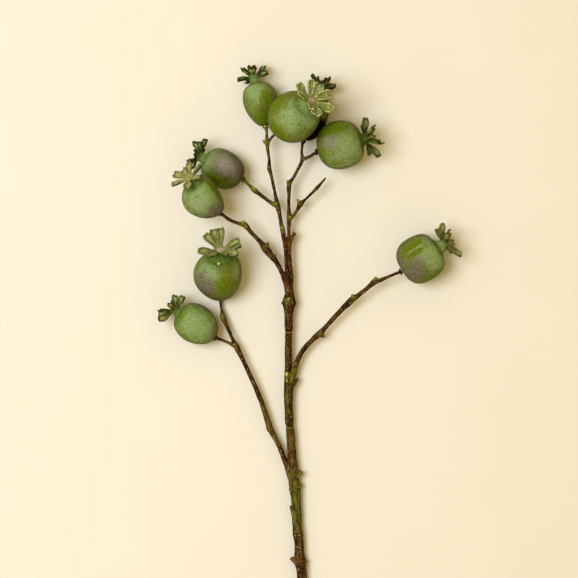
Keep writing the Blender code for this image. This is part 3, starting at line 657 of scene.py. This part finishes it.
def bark_finish():
    made, shade, sockets = new_finish("woody_bark", 0.6, 0.06)
    mark = shade.mark
    lengthwise = shade.stretched(mark("bark_place", "Vector"), 1.0, 1.0, 0.12)
    fibre = shade.grain(1.5, 4.0, 0.7, lengthwise)
    blotch = shade.grain(6.0, 4.0, 0.65)
    fleck = shade.grain(1.3, 1.0).step(0.62, 0.68)
    brown = fibre.step(0.38, 0.62).mix(display(16, 7, 1), display(84, 47, 16))
    brown = (blotch.step(0.48, 0.6) * fibre.step(0.4, 0.6)).mix(brown, display(98, 76, 24))
    brown = (blotch.step(0.3, 0.45) * -0.6 + 0.6).mix(brown, display(26, 13, 2))
    brown = (mark("old") * fibre.step(0.45, 0.65) * 0.4).mix(brown, display(132, 110, 72))
    olive = fibre.step(0.38, 0.62).mix(display(34, 33, 2), display(112, 110, 30))
    edge = blotch * 0.5 + fibre * 0.5
    greened = (mark("green") + edge * 0.8 - 0.4).step(0.15, 0.75)
    colour = greened.mix(brown, olive)
    colour = (fleck * 0.6).mix(colour, display(158, 138, 96))
    # Painted shade: the sides that turn away from up go near black.
    colour = (mark("flank") * 0.92).mix(colour, display(16, 9, 1))
    colour = (mark("band") * 0.7).mix(colour, display(140, 116, 52))
    colour = (mark("lime") * edge.step(0.3, 0.5)).mix(colour, display(186, 194, 84))
    colour = mark("ring").mix(colour, display(18, 9, 3))
    wood = shade.grain(1.2, 4.0).step(0.3, 0.7).mix(display(176, 152, 100), display(214, 198, 150))
    colour = mark("cut").step(0.35, 0.8).mix(colour, wood)
    feed(colour, sockets["Base Color"])
    feed(fibre.step(0.2, 0.8) * 0.2 + 0.55, sockets["Roughness"])
    feed(shade.relief(fibre * 0.8 + blotch * 0.2, 0.5), sockets["Normal"])
    return made


make_branch()


# Seed capsules.
# Each capsule is the swollen ovary, drawn in to a short neck. Its waxy skin has a grey bloom,
# vivid green where the bloom is rubbed off, and a purple blush where the sun reached it.
# Painted shade darkens its sides that turn away from up, the crease at its neck and the back
# head's covered half, and small white spots are painted glints.

CAPSULE_SIDES = 128
WELD_REACH = 0.002
ARC_STEPS = 34
NECK_STEPS = 10
BASE_RADIUS = 2.4
NECK_WAIST = 0.86
LOBE_DEPTH = 0.012
FLUTE_DEPTH = 0.10
FOOT_BLEND = 9
FOOT_PASSES = 16
NECK_RIB = 0.28
DENT_DEPTH = 0.5
DENT_SCALE = 0.085
FLUTE_DRIFT = 0.05
LOBES = 5
MARK_RAGGEDNESS = 0.28
SKIN_KINDS = ("vivid", "bloom", "blush", "frost", "shade", "latex", "flank")

# Marks on each capsule: kind, centre in plan as millimetres ahead and to the left of the
# capsule's middle, reach along the heading and across it, and strength. Each faces up.
# The shade marks are painted shade, and the small white spots are painted glints.
SKIN_MARKS = {
    "top_left": [
        # The small bloom spot at 2.6, 1.6 is a painted glint.
        ("bloom", 11, 2, 12, 13, 0.95), ("bloom", 2, 7, 16, 6, 0.4), ("bloom", 2.6, 1.6, 4.5, 1.6, 1),
        ("vivid", 4, -5, 7, 5, 1), ("vivid", -12, -1, 11, 12, 0.95), ("shade", -12, -4, 15, 10, 0.35),
    ],
    "front": [
        ("bloom", 1.5, -1, 21, 16, 1), ("vivid", -6, 16, 15, 8, 1), ("vivid", -16.5, -3, 6, 20, 1),
        ("vivid", 12, 7, 4, 8, 0.8), ("latex", 4.2, 8.6, 0.6, 1.4, 0.75),
    ],
    "back": [("bloom", 12, 0, 10, 18, 0.5)],
    "top_right": [
        ("bloom", 3, -4, 24, 19, 0.8), ("vivid", -4, 14.5, 20, 8.5, 1), ("vivid", -16.5, -3, 6, 14, 0.8),
        ("blush", -6, 3, 13, 11, 0.5), ("frost", -7, 3.5, 8, 7, 0.45), ("blush", 4, -5, 20, 18, 0.25),
    ],
    "left_back": [
        ("blush", -4, -3, 21, 17, 1), ("bloom", 12, 0, 9, 17, 0.75), ("vivid", -8, 12, 26, 8, 1),
        ("shade", -9, 7, 16, 8, 0.5), ("shade", -18, -4, 9, 18, 0.6), ("shade", -9, -14, 16, 5, 0.5),
        ("frost", 1, -4, 11, 9, 1),
    ],
    "left_front": [
        ("bloom", 0, 4.5, 24, 17, 1), ("blush", -14, 3, 9, 17, 0.9), ("vivid", -4, -11, 15, 5, 0.7),
        ("frost", -2, 7, 10, 7, 0.3),
    ],
    "middle_left": [
        ("bloom", 2, 8, 17, 13, 0.9), ("vivid", -8.5, -5, 13, 11, 0.85), ("blush", -10, 12, 18, 14, 1),
        ("blush", -19, -2, 8, 24, 1), ("vivid", 14, -2, 7, 18, 0.9), ("blush", 2, -17, 16, 5, 0.8),
        ("bloom", 5, -13, 11, 5, 0.6), ("latex", 10, 1, 1.3, 1.3, 1),
    ],
    "lower_left": [
        ("bloom", 1, -1, 22, 18, 0.95), ("vivid", 14, 2, 5, 12, 0.75), ("blush", -15, -4, 7, 14, 0.6),
        ("vivid", 0, 13.5, 16, 4, 0.6),
    ],
    "right": [
        ("blush", -10, -5, 18, 16, 0.85), ("blush", -15, 6, 7, 14, 0.8), ("bloom", 8, -3, 16, 18, 0.95),
        ("vivid", 1, -16.5, 18, 5, 1),
    ],
}

# Long streaks: kind, turn round the middle line (90 faces up), half width, the shares of the
# body's length where each starts and ends, and strength. The back head's is a deep shade on
# the whole upper side of its lower half, because the front head hangs over it.
STREAKS = {
    "back": [("shade", 90, 400, -0.2, 0.56, 1)],
    "right": [
        ("vivid", 49, 7, 0.28, 0.78, 1), ("bloom", 60, 3.5, 0.3, 0.8, 0.7),
        ("vivid", 71, 7, 0.28, 0.7, 1),
    ],
    "left_front": [("vivid", 140, 9, 0.3, 0.97, 1), ("bloom", 70, 4, 0.1, 0.9, 0.8)],
    "middle_left": [("vivid", 110, 12, 0.1, 0.55, 0.35), ("blush", 60, 3, 0.2, 0.8, 0.5)],
    "top_right": [("blush", 157, 4, 0.15, 0.75, 0.45), ("bloom", 150, 3, 0.15, 0.8, 0.8)],
}

# A neck's colour, where 0 is dark olive and 1 is pale grey green, and how far its foot flares.
# The dark olive is partly the neck's own colour and partly painted shade under the crown.
NECKS = {
    "top_left": (0.65, 0.9), "front": (0.85, 2.0), "back": (0.1, 0.8), "top_right": (0.0, 0.8),
    "left_back": (0.6, 1.0), "left_front": (0.35, 1.8), "middle_left": (0.35, 2.0), "lower_left": (0.5, 1.0),
    "right": (0.9, 1.2),
}


def capsule_profile(head):
    """Half the capsule's outline, from the middle of its base to the middle of the neck's top."""
    middle = head.widest * head.body
    flare = NECKS[head.name][1]
    foot = head.neck_radius + flare
    points = [(0, 0), (0.5 * BASE_RADIUS, 0), (BASE_RADIUS, 0)]
    for step in range(1, ARC_STEPS + 1):
        turn = math.pi / 2 * step / ARC_STEPS
        out = math.sin(turn) ** (2 / head.full_low)
        up = 1 - math.cos(turn) ** (2 / head.full_low)
        points.append((BASE_RADIUS + (head.radius - BASE_RADIUS) * out, middle * up))
    for step in range(1, ARC_STEPS + 1):
        turn = math.pi / 2 * step / ARC_STEPS
        out = math.cos(turn) ** (2 / head.full_high)
        up = math.sin(turn) ** (2 / head.full_high)
        points.append((foot + (head.radius - foot) * out, middle + (head.body - middle) * up))
    for step in range(1, NECK_STEPS + 1):
        share = step / NECK_STEPS
        waist = 1 - (1 - NECK_WAIST) * math.sin(math.pi * share)
        out = waist * head.neck_radius + flare * (1 - share) ** 1.5
        points.append((out, head.body + share * head.neck))
    corner = 2 + 2 * ARC_STEPS
    first, last = corner - FOOT_BLEND, corner + FOOT_BLEND
    for _ in range(FOOT_PASSES):
        parts = list(zip(points[first - 1:], points[first:last], points[first + 1:]))
        points[first:last] = [tuple((a + 2 * b + c) / 4 for a, b, c in zip(*part)) for part in parts]
    points += [(0.5 * head.neck_radius, head.height), (0, head.height)]
    return points


def spin_profile(shape, profile, sides):
    """A closed round solid, turned from half its outline as on a lathe."""
    corners = [shape.verts.new((out * MM, 0, up * MM)) for out, up in profile]
    edges = [shape.edges.new(pair) for pair in zip(corners, corners[1:])]
    bmesh.ops.spin(shape, geom=[*corners, *edges], cent=(0, 0, 0), axis=(0, 0, 1), angle=2 * math.pi,
                   steps=sides, use_merge=True)
    bmesh.ops.remove_doubles(shape, verts=shape.verts, dist=WELD_REACH * MM)


def make_capsule(head):
    shape = bmesh.new()
    spin_profile(shape, capsule_profile(head), CAPSULE_SIDES)
    flutes = 2 * len(head.rays)
    seed = Vector((head.base.x, head.base.y, 7.0)) * 0.37
    grown = []
    for corner in shape.verts:
        own = corner.co / MM
        share = min(1.0, max(0.0, corner.co.z / (head.body * MM)))
        turn = math.atan2(corner.co.y, corner.co.x)
        grown.append((share, turn, own))
        swell = math.sin(math.pi * share)
        lobe = 1 + LOBE_DEPTH * swell * math.cos(LOBES * turn + head.radius)
        outward = Vector((corner.co.x, corner.co.y, 0)).normalized()
        corner.co.x = corner.co.x * lobe + head.bow * MM * swell
        corner.co.y *= lobe
        dent = noise.noise(own * DENT_SCALE + seed)
        flute = math.cos(flutes * turn + 1.5 * noise.noise(own * FLUTE_DRIFT + seed))
        push = swell * (DENT_DEPTH * min(dent, 0.3) + FLUTE_DEPTH * flute * share) - 0.05 * abs(dent)
        on_neck = ease(own.z, head.body - 3.0, head.body + 0.5)
        on_neck *= 1 - ease(own.z, head.height - 0.8, head.height)
        push += NECK_RIB * on_neck * (math.cos(len(head.rays) * turn) - 0.6)
        corner.co += outward * push * MM
    bmesh.ops.transform(shape, verts=shape.verts, matrix=head.place)
    bmesh.ops.recalc_face_normals(shape, faces=shape.faces)
    for corner in shape.verts:
        corner.co.z = max(FLOOR_GAP * MM, corner.co.z)
    shape.normal_update()

    level = Vector((head.axis.x, head.axis.y)).normalized()
    side = Vector((-level.y, level.x))
    centre = head.base + head.axis * head.body / 2
    marks = {}
    for corner, (share, turn, own) in zip(shape.verts, grown):
        place = corner.co / MM
        flat = Vector((place.x - centre.x, place.y - centre.y))
        along, across = flat.dot(level), flat.dot(side)
        wobble = MARK_RAGGEDNESS * noise.fractal(place * 0.16 + seed, 0.6, 2.1, 3)
        faces_up = ease(corner.normal.z, -0.45, 0.1)
        strengths = dict.fromkeys(SKIN_KINDS, 0.0)
        for kind, ahead, left, reach, width, strength in SKIN_MARKS[head.name]:
            rough = 0 if kind in ("latex", "shade") else wobble
            away = math.hypot((along - ahead) / reach, (across - left) / width) + rough
            strengths[kind] = max(strengths[kind], strength * faces_up * (1 - ease(away, 0.1, 1.2)))
        for kind, middle_turn, spread, low, high, strength in STREAKS.get(head.name, ()):
            aside = abs((math.degrees(turn) - middle_turn + 180) % 360 - 180) + 3 * wobble
            within = ease(share, low - 0.08, low + 0.1) * (1 - ease(share, high - 0.1, high + 0.05))
            here = strength * within * (1 - ease(aside, 0.4 * spread, 1.3 * spread))
            if kind == "shade":
                here *= ease(corner.normal.z, -0.1, 0.3)
            if kind == "bloom":
                strengths["vivid"] *= 1 - here
                strengths["blush"] *= 1 - 0.5 * here
            strengths[kind] = max(strengths[kind], here)
        under = 1 - faces_up
        for kind, most, patch in (("vivid", 0.55, noise.noise(place * 0.09 + seed)),
                                  ("bloom", 0.5, noise.noise(place * 0.07 - seed))):
            strengths[kind] = max(strengths[kind], most * under * ease(patch, -0.1, 0.3))
        # Painted shade: skin that faces sideways or down.
        strengths["flank"] = 1 - ease(corner.normal.z, -0.05, 0.62)
        strengths["ripe"] = share
        strengths["pale_neck"] = NECKS[head.name][0]
        strengths["neck"] = ease(own.z, head.body - 2.5, head.body + 2.5)
        # Painted shade in the crease where the neck meets the body.
        strengths["crease"] = 1 - ease(abs(own.z - head.body + 0.3), 0.1, 0.9)
        keep_marks(marks, strengths)
    name = "skin_" + head.name
    mesh = bpy.data.meshes.new(name)
    shape.to_mesh(mesh)
    shape.free()
    set_marks(mesh, marks)
    set_places(mesh, "grown", [(math.cos(turn) * head.radius, math.sin(turn) * head.radius, own.z)
                               for share, turn, own in grown])
    mesh.materials.append(shaded_skin if head.name == "back" else skin)
    mesh.shade_smooth()
    made = add_object(name, mesh)
    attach(made, "root")
    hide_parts("capsule_" + head.name)


def skin_finish(name, gloss):
    made, shade, sockets = new_finish(name, 0.5, gloss)
    mark = shade.mark
    meridian = shade.stretched(mark("grown", "Vector"), 1.0, 1.0, 0.10)
    stripe = shade.grain(4.2, 4.0, 0.6, meridian)
    cloud = shade.grain(9.0, 4.0, 0.6)
    speckle = shade.grain(1.3, 3.0, 0.7)
    pore = shade.grain(1.7, 1.0).step(0.65, 0.70)
    pale_dot = shade.grain(1.3, 1.0).step(0.66, 0.72)
    base = speckle.step(0.36, 0.64).mix(display(92, 106, 32), display(110, 125, 50))
    base = (cloud.step(0.45, 0.62) * 0.55).mix(base, display(96, 102, 36))
    vivid = speckle.step(0.3, 0.7).mix(display(76, 94, 0), display(106, 126, 4))
    bloom = speckle.step(0.36, 0.64).mix(display(119, 144, 88), display(140, 164, 112))
    blush = speckle.step(0.3, 0.7).mix(display(84, 79, 66), display(118, 112, 100))
    blotted = stripe * 0.35 + speckle * 0.2 + cloud * 0.45
    colour = (mark("bloom") * 0.95 + blotted * 0.5 - 0.25).step(0.05, 0.95).mix(base, bloom)
    colour = (mark("blush") * 1.0 + blotted * 0.5 - 0.25).step(0.05, 1.05).mix(colour, blush)
    colour = (mark("vivid") * 1.0 + blotted * 0.5 - 0.25).step(0.05, 0.9).mix(colour, vivid)
    colour = (mark("frost") * 0.8).mix(colour, display(144, 140, 135))
    # A dark neck is partly painted shade under the crown.
    neck = mark("pale_neck").mix(display(64, 88, 14), display(124, 150, 86))
    colour = mark("neck").mix(colour, neck)
    # Painted shade in the crease at the neck's foot.
    colour = (mark("crease") * 0.2).mix(colour, display(56, 72, 20))
    heel = 1 - mark("ripe").step(0.0, 0.10)
    colour = (heel * 0.5).mix(colour, display(84, 82, 14))
    colour = (pore * 0.55).mix(colour, display(46, 50, 16))
    colour = (pale_dot * 0.2).mix(colour, display(166, 174, 130))
    # Painted shade: a dark colour on the sides that turn away from up.
    side_shade_colour = stripe.step(0.3, 0.7).mix(display(40, 44, 4), display(72, 76, 18))
    colour = (mark("flank") * (0.62 - mark("vivid") * 0.35)).mix(colour, side_shade_colour)
    # Painted glints: small white spots.
    colour = mark("latex").step(0.35, 0.8).mix(colour, display(232, 232, 214))
    colour = (mark("shade") * 0.95).mix(colour, display(9, 12, 2))
    feed(colour, sockets["Base Color"])
    feed(speckle.step(0.2, 0.8) * 0.16 + 0.42, sockets["Roughness"])
    feed(shade.relief(speckle * 0.6 - pore * 0.3 + stripe * 0.3, 0.24), sockets["Normal"])
    return made


skin = skin_finish("waxy_capsule_skin", 0.07)
shaded_skin = skin_finish("shaded_capsule_skin", 0.0)
for head in HEADS:
    make_capsule(head)


# Stigma crowns.
# A fleshy cup on each neck carries the rays, like the spokes of a wheel, round a pale scar.
# A ray is a thin spoon with a raised cream rim, grey green inside and dark below.
# Painted shade darkens the rays' edges and sides, and a painted highlight pales the tips that
# face up.

CUP_HEIGHT = 2.0
CUP_FLARE = 1.12
KNOB_RADIUS = 2.3
KNOB_HEIGHT = 0.5
CUP_SINK = 0.2
CUP_SIDES = 40
RAY_THICKNESS = 1.15
RAY_SWELL = 1.15
RAY_STALK = 0.42
RAY_START = 1.2
RAY_ROOT_HEIGHT = 1.45
RAY_CURVE = 1.2
RAY_OPEN_BY = 0.6
SPOON_DEPTH = 0.8
RIM_HEIGHT = 0.4
KEEL_DEPTH = 0.18
HOOD_HEIGHT = 0.5
RUFFLE = 0.05
SPOON_WELD_REACH = 0.003
RAY_ROWS = 30
RAY_COLUMNS = 12
CROWN_VOXEL = 0.27
FLESH_BUMP = 0.09

# Colours that one head's crown has more of than the others, each as a share: cream rims,
# blue-green spoons, ochre tips, dark flesh, pale flesh, and tan ribs.
CROWN_TINTS = {
    "top_left": (0.0, 0.7, 0.05, 0.0, 0.0, 0.0),
    "front": (0.9, 1.0, 0.15, 0.0, 0.2, 0.1),
    "back": (0.1, 0.0, 0.4, 0.7, 0.0, 0.0),
    "top_right": (0.05, 1.0, 0.15, 0.0, 0.45, 0.0),
    "left_back": (0.0, 0.5, 0.3, 0.1, 0.0, 0.4),
    "left_front": (0.3, 0.5, 0.1, 0.0, 0.75, 0.6),
    "middle_left": (0.25, 0.6, 0.25, 0.0, 0.45, 0.8),
    "lower_left": (0.1, 0.4, 0.9, 0.1, 0.0, 0.0),
    "right": (0.3, 1.0, 0.5, 0.0, 0.5, 0.2),
}

# How clearly the pale scar shows in the middle of a crown.
PALE_SCARS = {"front": 0.95, "middle_left": 1.0, "left_front": 0.2, "right": 0.5}

# How olive each ray is, in the order of the head's rays: 0 is blue green, and 1 is olive with
# an ochre tip. These three crowns face up, so their rays show no dark stalks.
RAY_TONES = {
    "front": (0.2, 0.75, 0.0, 0.1, 0.85, 0.8, 0.3, 0.1),
    "middle_left": (0.5, 0.3, 0.5, 0.55, 0.3, 0.6, 0.7, 0.4, 0.2),
    "left_front": (0.7, 0.2, 0.3, 0.2, 0.4, 0.6, 0.5),
}


def ray_width(along):
    """Share of a ray's full width: a narrow root that swells to a round tip."""
    swollen = RAY_SWELL * (RAY_STALK + (1 - RAY_STALK) * ease(along, 0.3, 0.74))
    if along <= 0.8:
        return swollen
    return RAY_SWELL * math.sqrt(max(0.0, 1 - ((along - 0.8) / 0.2) ** 2))


def add_ray(maker, head, number, samples):
    """One spoon of the crown: a grid shaped to the ray's outline, cupped, and given its thickness."""
    turn, reach, rise, width = head.rays[number]
    draw = random.Random(f"{head.name}{number}")
    twist, curl = draw.uniform(-0.45, 0.45), draw.uniform(-0.5, 1.0)
    hood, wave = draw.uniform(0.35, 1.0) * HOOD_HEIGHT, draw.uniform(0, 6.28)
    tone = RAY_TONES[head.name][number] if head.name in RAY_TONES else draw.uniform(0.1, 0.9)
    root = RAY_ROOT_HEIGHT + 0.04 * (number % 3)
    tilt = Matrix.Rotation(-math.radians(head.roll) * math.cos(math.radians(turn)), 3, "X")

    def form(along, across, half):
        """How far the ray has opened, its middle line, its lean, and its sides' cupped height."""
        opened = min(1.0, along / RAY_OPEN_BY)
        lift = root + (CUP_HEIGHT + rise - root) * along ** RAY_CURVE
        middle = Vector((RAY_START + (reach - RAY_START) * along, 0,
                         lift + curl * opened * (along - 0.6) ** 2))
        lean = Matrix.Identity(3).lerp(tilt @ Matrix.Rotation(twist * along, 3, "X"), opened)
        cup = SPOON_DEPTH * 0.5 * width * across * across * opened * min(1.0, half)
        return opened, middle, lean, cup

    spoon = bmesh.new()
    bmesh.ops.create_grid(spoon, x_segments=RAY_ROWS, y_segments=RAY_COLUMNS, size=0.5)
    for corner in spoon.verts:
        along, across = corner.co.x + 0.5, 2 * corner.co.y
        waves = math.sin(6 * along + wave + math.copysign(1.2, across))
        ruffle = 1 + RUFFLE * waves * ease(along, 0.3, 0.7)
        half = 0.5 * width * ray_width(along) * ruffle
        opened, middle, lean, cup = form(along, across, half)
        rim = (RIM_HEIGHT * ease(abs(across), 0.55, 0.95) + hood * ease(along, 0.78, 1.0)) * opened
        keel = -KEEL_DEPTH * (1 - ease(abs(across), 0.0, 0.25)) * opened
        corner.co = (middle + lean @ Vector((0, across * half, cup + rim + keel))) * MM
    spoon.normal_update()
    if sum(face.normal.z for face in spoon.faces) < 0:
        bmesh.ops.reverse_faces(spoon, faces=spoon.faces)
        spoon.normal_update()
    bmesh.ops.remove_doubles(spoon, verts=spoon.verts, dist=SPOON_WELD_REACH * MM)
    bmesh.ops.solidify(spoon, geom=spoon.faces[:], thickness=RAY_THICKNESS * MM)
    stand = head.top @ Matrix.Rotation(math.radians(turn), 4, "Z")
    bmesh.ops.transform(spoon, verts=spoon.verts, matrix=stand)
    bmesh.ops.recalc_face_normals(spoon, faces=spoon.faces)
    patch = bpy.data.meshes.new("spoon")
    spoon.to_mesh(patch)
    spoon.free()
    maker.from_mesh(patch)
    bpy.data.meshes.remove(patch)
    for row in range(RAY_ROWS * 2 + 1):
        for column in range(-6, 7):
            along, across = row / (RAY_ROWS * 2), column / 6
            half = 0.5 * width * ray_width(along)
            _, middle, lean, cup = form(along, across, half)
            inset = min((1 - abs(across)) * half, (1 - along) * (reach - RAY_START))
            facing = (stand.to_3x3() @ lean @ UP).normalized()
            for level, upper in ((0.0, 1.0), (-RAY_THICKNESS, 0.0)):
                spot = middle + lean @ Vector((0, across * half, cup + level))
                samples.append((stand @ (spot * MM), along, abs(across), inset, facing, upper, tone))


def make_crown(head):
    maker = bmesh.new()
    flare = CUP_FLARE * head.neck_radius
    profile = [
        (0, -CUP_SINK), (0.92 * head.neck_radius, -CUP_SINK), (0.94 * head.neck_radius, 0.5),
        (flare - 0.3, 1.3), (flare, CUP_HEIGHT - 0.3), (flare - 0.5, CUP_HEIGHT),
        (KNOB_RADIUS, CUP_HEIGHT - 0.1), (KNOB_RADIUS, CUP_HEIGHT + KNOB_HEIGHT),
        (0.7 * KNOB_RADIUS, CUP_HEIGHT + KNOB_HEIGHT), (0.3 * KNOB_RADIUS, CUP_HEIGHT + 0.1),
        (0, CUP_HEIGHT),
    ]
    spin_profile(maker, profile, CUP_SIDES)
    bmesh.ops.transform(maker, verts=maker.verts, matrix=head.top)
    samples = []
    for number in range(len(head.rays)):
        add_ray(maker, head, number, samples)
    mesh, shape = grown_together("crown_flesh_" + head.name, maker, CROWN_VOXEL, 3)
    maker.free()
    finder = finder_of(samples)
    back = head.top.inverted()
    shape.normal_update()
    cream, blue, ochre, dark, pale, rib = CROWN_TINTS[head.name]
    pale_neck, pale_scar = NECKS[head.name][0], PALE_SCARS.get(head.name, 0.4)
    flat = 1.0 if head.name in RAY_TONES else 0.0
    marks = {}
    for corner in shape.verts:
        own = back @ corner.co / MM
        out = math.hypot(own.x, own.y)
        _, number, _ = finder.find(corner.co)
        _, along, across, inset, facing, upper, tone = samples[number]
        on_ray = ease(along, 0.12, 0.3)
        faces_out = (1 - on_ray) * (back.to_3x3() @ corner.normal).z + on_ray * corner.normal.dot(facing)
        lit = ease(faces_out, -0.35, 0.25)
        wobble = noise.noise(corner.co / MM * 0.7)
        broken = ease(wobble, -0.4, 0.3)
        # Faces that turn sideways, and the edges of rays without cream rims, get painted shade.
        sideways = 1 - ease(abs(faces_out), 0.15, 0.65)
        groove = ease(inset, 0.45, 0.65) * (1 - ease(inset, 0.75, 1.2))
        beside = max((1 - cream) * (1 - ease(inset, 0.25, 0.8)), sideways, 0.5 * cream * groove)
        keep_marks(marks, {
            "rim": cream * on_ray * broken * (1 - ease(inset, 0.3, 0.65)) * ease(faces_out, 0.3, 0.75),
            "outline": on_ray * beside,
            "upper": lit * max(on_ray * upper, 1 - ease(out, 4.0, 5.5)),
            "spoon": blue * lit * on_ray * (1 - tone),
            "ochre": ochre * on_ray * ease(along, 0.78, 1.0) * tone,
            "heart": lit * (1 - ease(out, 2.6, 6.5)),
            "cup": pale_neck * (1 - lit) * (1 - ease(out, 4.6, 6.0)),
            "stalk": (1 - 0.8 * cream) * (1 - flat) * on_ray * (1 - ease(along, 0.45, 0.7)),
            "rib": rib * lit * on_ray * (1 - ease(across, 0.12, 0.4)) * (1 - ease(along, 0.55, 0.85)),
            # Painted highlight: the ray tips are paler, most where they face up.
            "tip": (1 - 0.7 * cream) * (1 - dark) * on_ray * ease(along, 0.6, 0.82) * (1 - beside)
                   * max(lit * upper, 0.8 * ease(corner.normal.z, 0.1, 0.7)),
            "slit": lit * (1 - ease(abs(own.y), 0.15, 0.5)) * (1 - ease(abs(own.x), 0.9, 1.5)),
            "scar": pale_scar * lit * (1 - ease(out, KNOB_RADIUS, KNOB_RADIUS + 0.7)),
            "dark": dark,
            "pale": pale,
        })
        corner.co += corner.normal * FLESH_BUMP * wobble * MM
    for corner in shape.verts:
        for axis in range(3):
            corner.co[axis] = min(frame_high[axis], max(frame_low[axis], corner.co[axis]))
        corner.co.z = max(FLOOR_GAP * MM, corner.co.z)
    shape.to_mesh(mesh)
    shape.free()
    set_marks(mesh, marks)
    mesh.materials.append(flesh)
    mesh.shade_smooth()
    made = add_object("crown_flesh_" + head.name, mesh)
    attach(made, "root")
    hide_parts("crown_" + head.name)


def flesh_finish():
    made, shade, sockets = new_finish("stigma_flesh", 0.5, 0.08)
    mark = shade.mark
    cloud = shade.grain(3.2, 4.0, 0.6)
    speckle = shade.grain(0.9, 3.0, 0.65)
    lower = cloud.step(0.3, 0.7).mix(display(62, 78, 12), display(112, 126, 50))
    inside = cloud.step(0.35, 0.65).mix(display(92, 112, 40), display(140, 152, 80))
    bluish = speckle.step(0.3, 0.7).mix(display(96, 126, 84), display(148, 172, 128))
    inside = (mark("spoon") * (cloud * 0.5 + 0.55)).mix(inside, bluish)
    pale = speckle.step(0.3, 0.7).mix(display(150, 154, 90), display(186, 184, 122))
    inside = (mark("pale") * 0.7).mix(inside, pale)
    inside = (mark("heart") * 0.6).mix(inside, display(142, 130, 62))
    inside = (mark("rib") * cloud.step(0.3, 0.55)).mix(inside, display(158, 142, 82))
    colour = mark("upper").step(0.15, 0.7).mix(lower, inside)
    # The pale tip colour is a painted highlight.
    for name, strength, paint in (("dark", 0.85, (44, 56, 10)), ("stalk", 0.5, (36, 50, 2)),
                                  ("tip", 0.75, (160, 172, 116))):
        colour = (mark(name) * strength).mix(colour, display(*paint))
    colour = (mark("ochre") * cloud.step(0.42, 0.6)).mix(colour, display(186, 144, 50))
    # Painted shade at the rays' edges and sides.
    colour = (mark("outline") * 0.82).mix(colour, display(26, 32, 0))
    colour = mark("cup").mix(colour, display(120, 144, 76))
    colour = (mark("rim") * (cloud.step(0.25, 0.6) * 0.6 + 0.4)).mix(colour, display(216, 212, 156))
    scar = speckle.step(0.35, 0.65).mix(display(150, 138, 128), display(202, 190, 176))
    colour = mark("scar").mix(colour, scar)
    colour = (mark("slit") * 0.6).mix(colour, display(58, 50, 30))
    feed(colour, sockets["Base Color"])
    feed(speckle * 0.2 + 0.38, sockets["Roughness"])
    feed(shade.relief(speckle * 0.5 + cloud * 0.5, 0.14), sockets["Normal"])
    return made


flesh = flesh_finish()
for head in HEADS:
    make_crown(head)
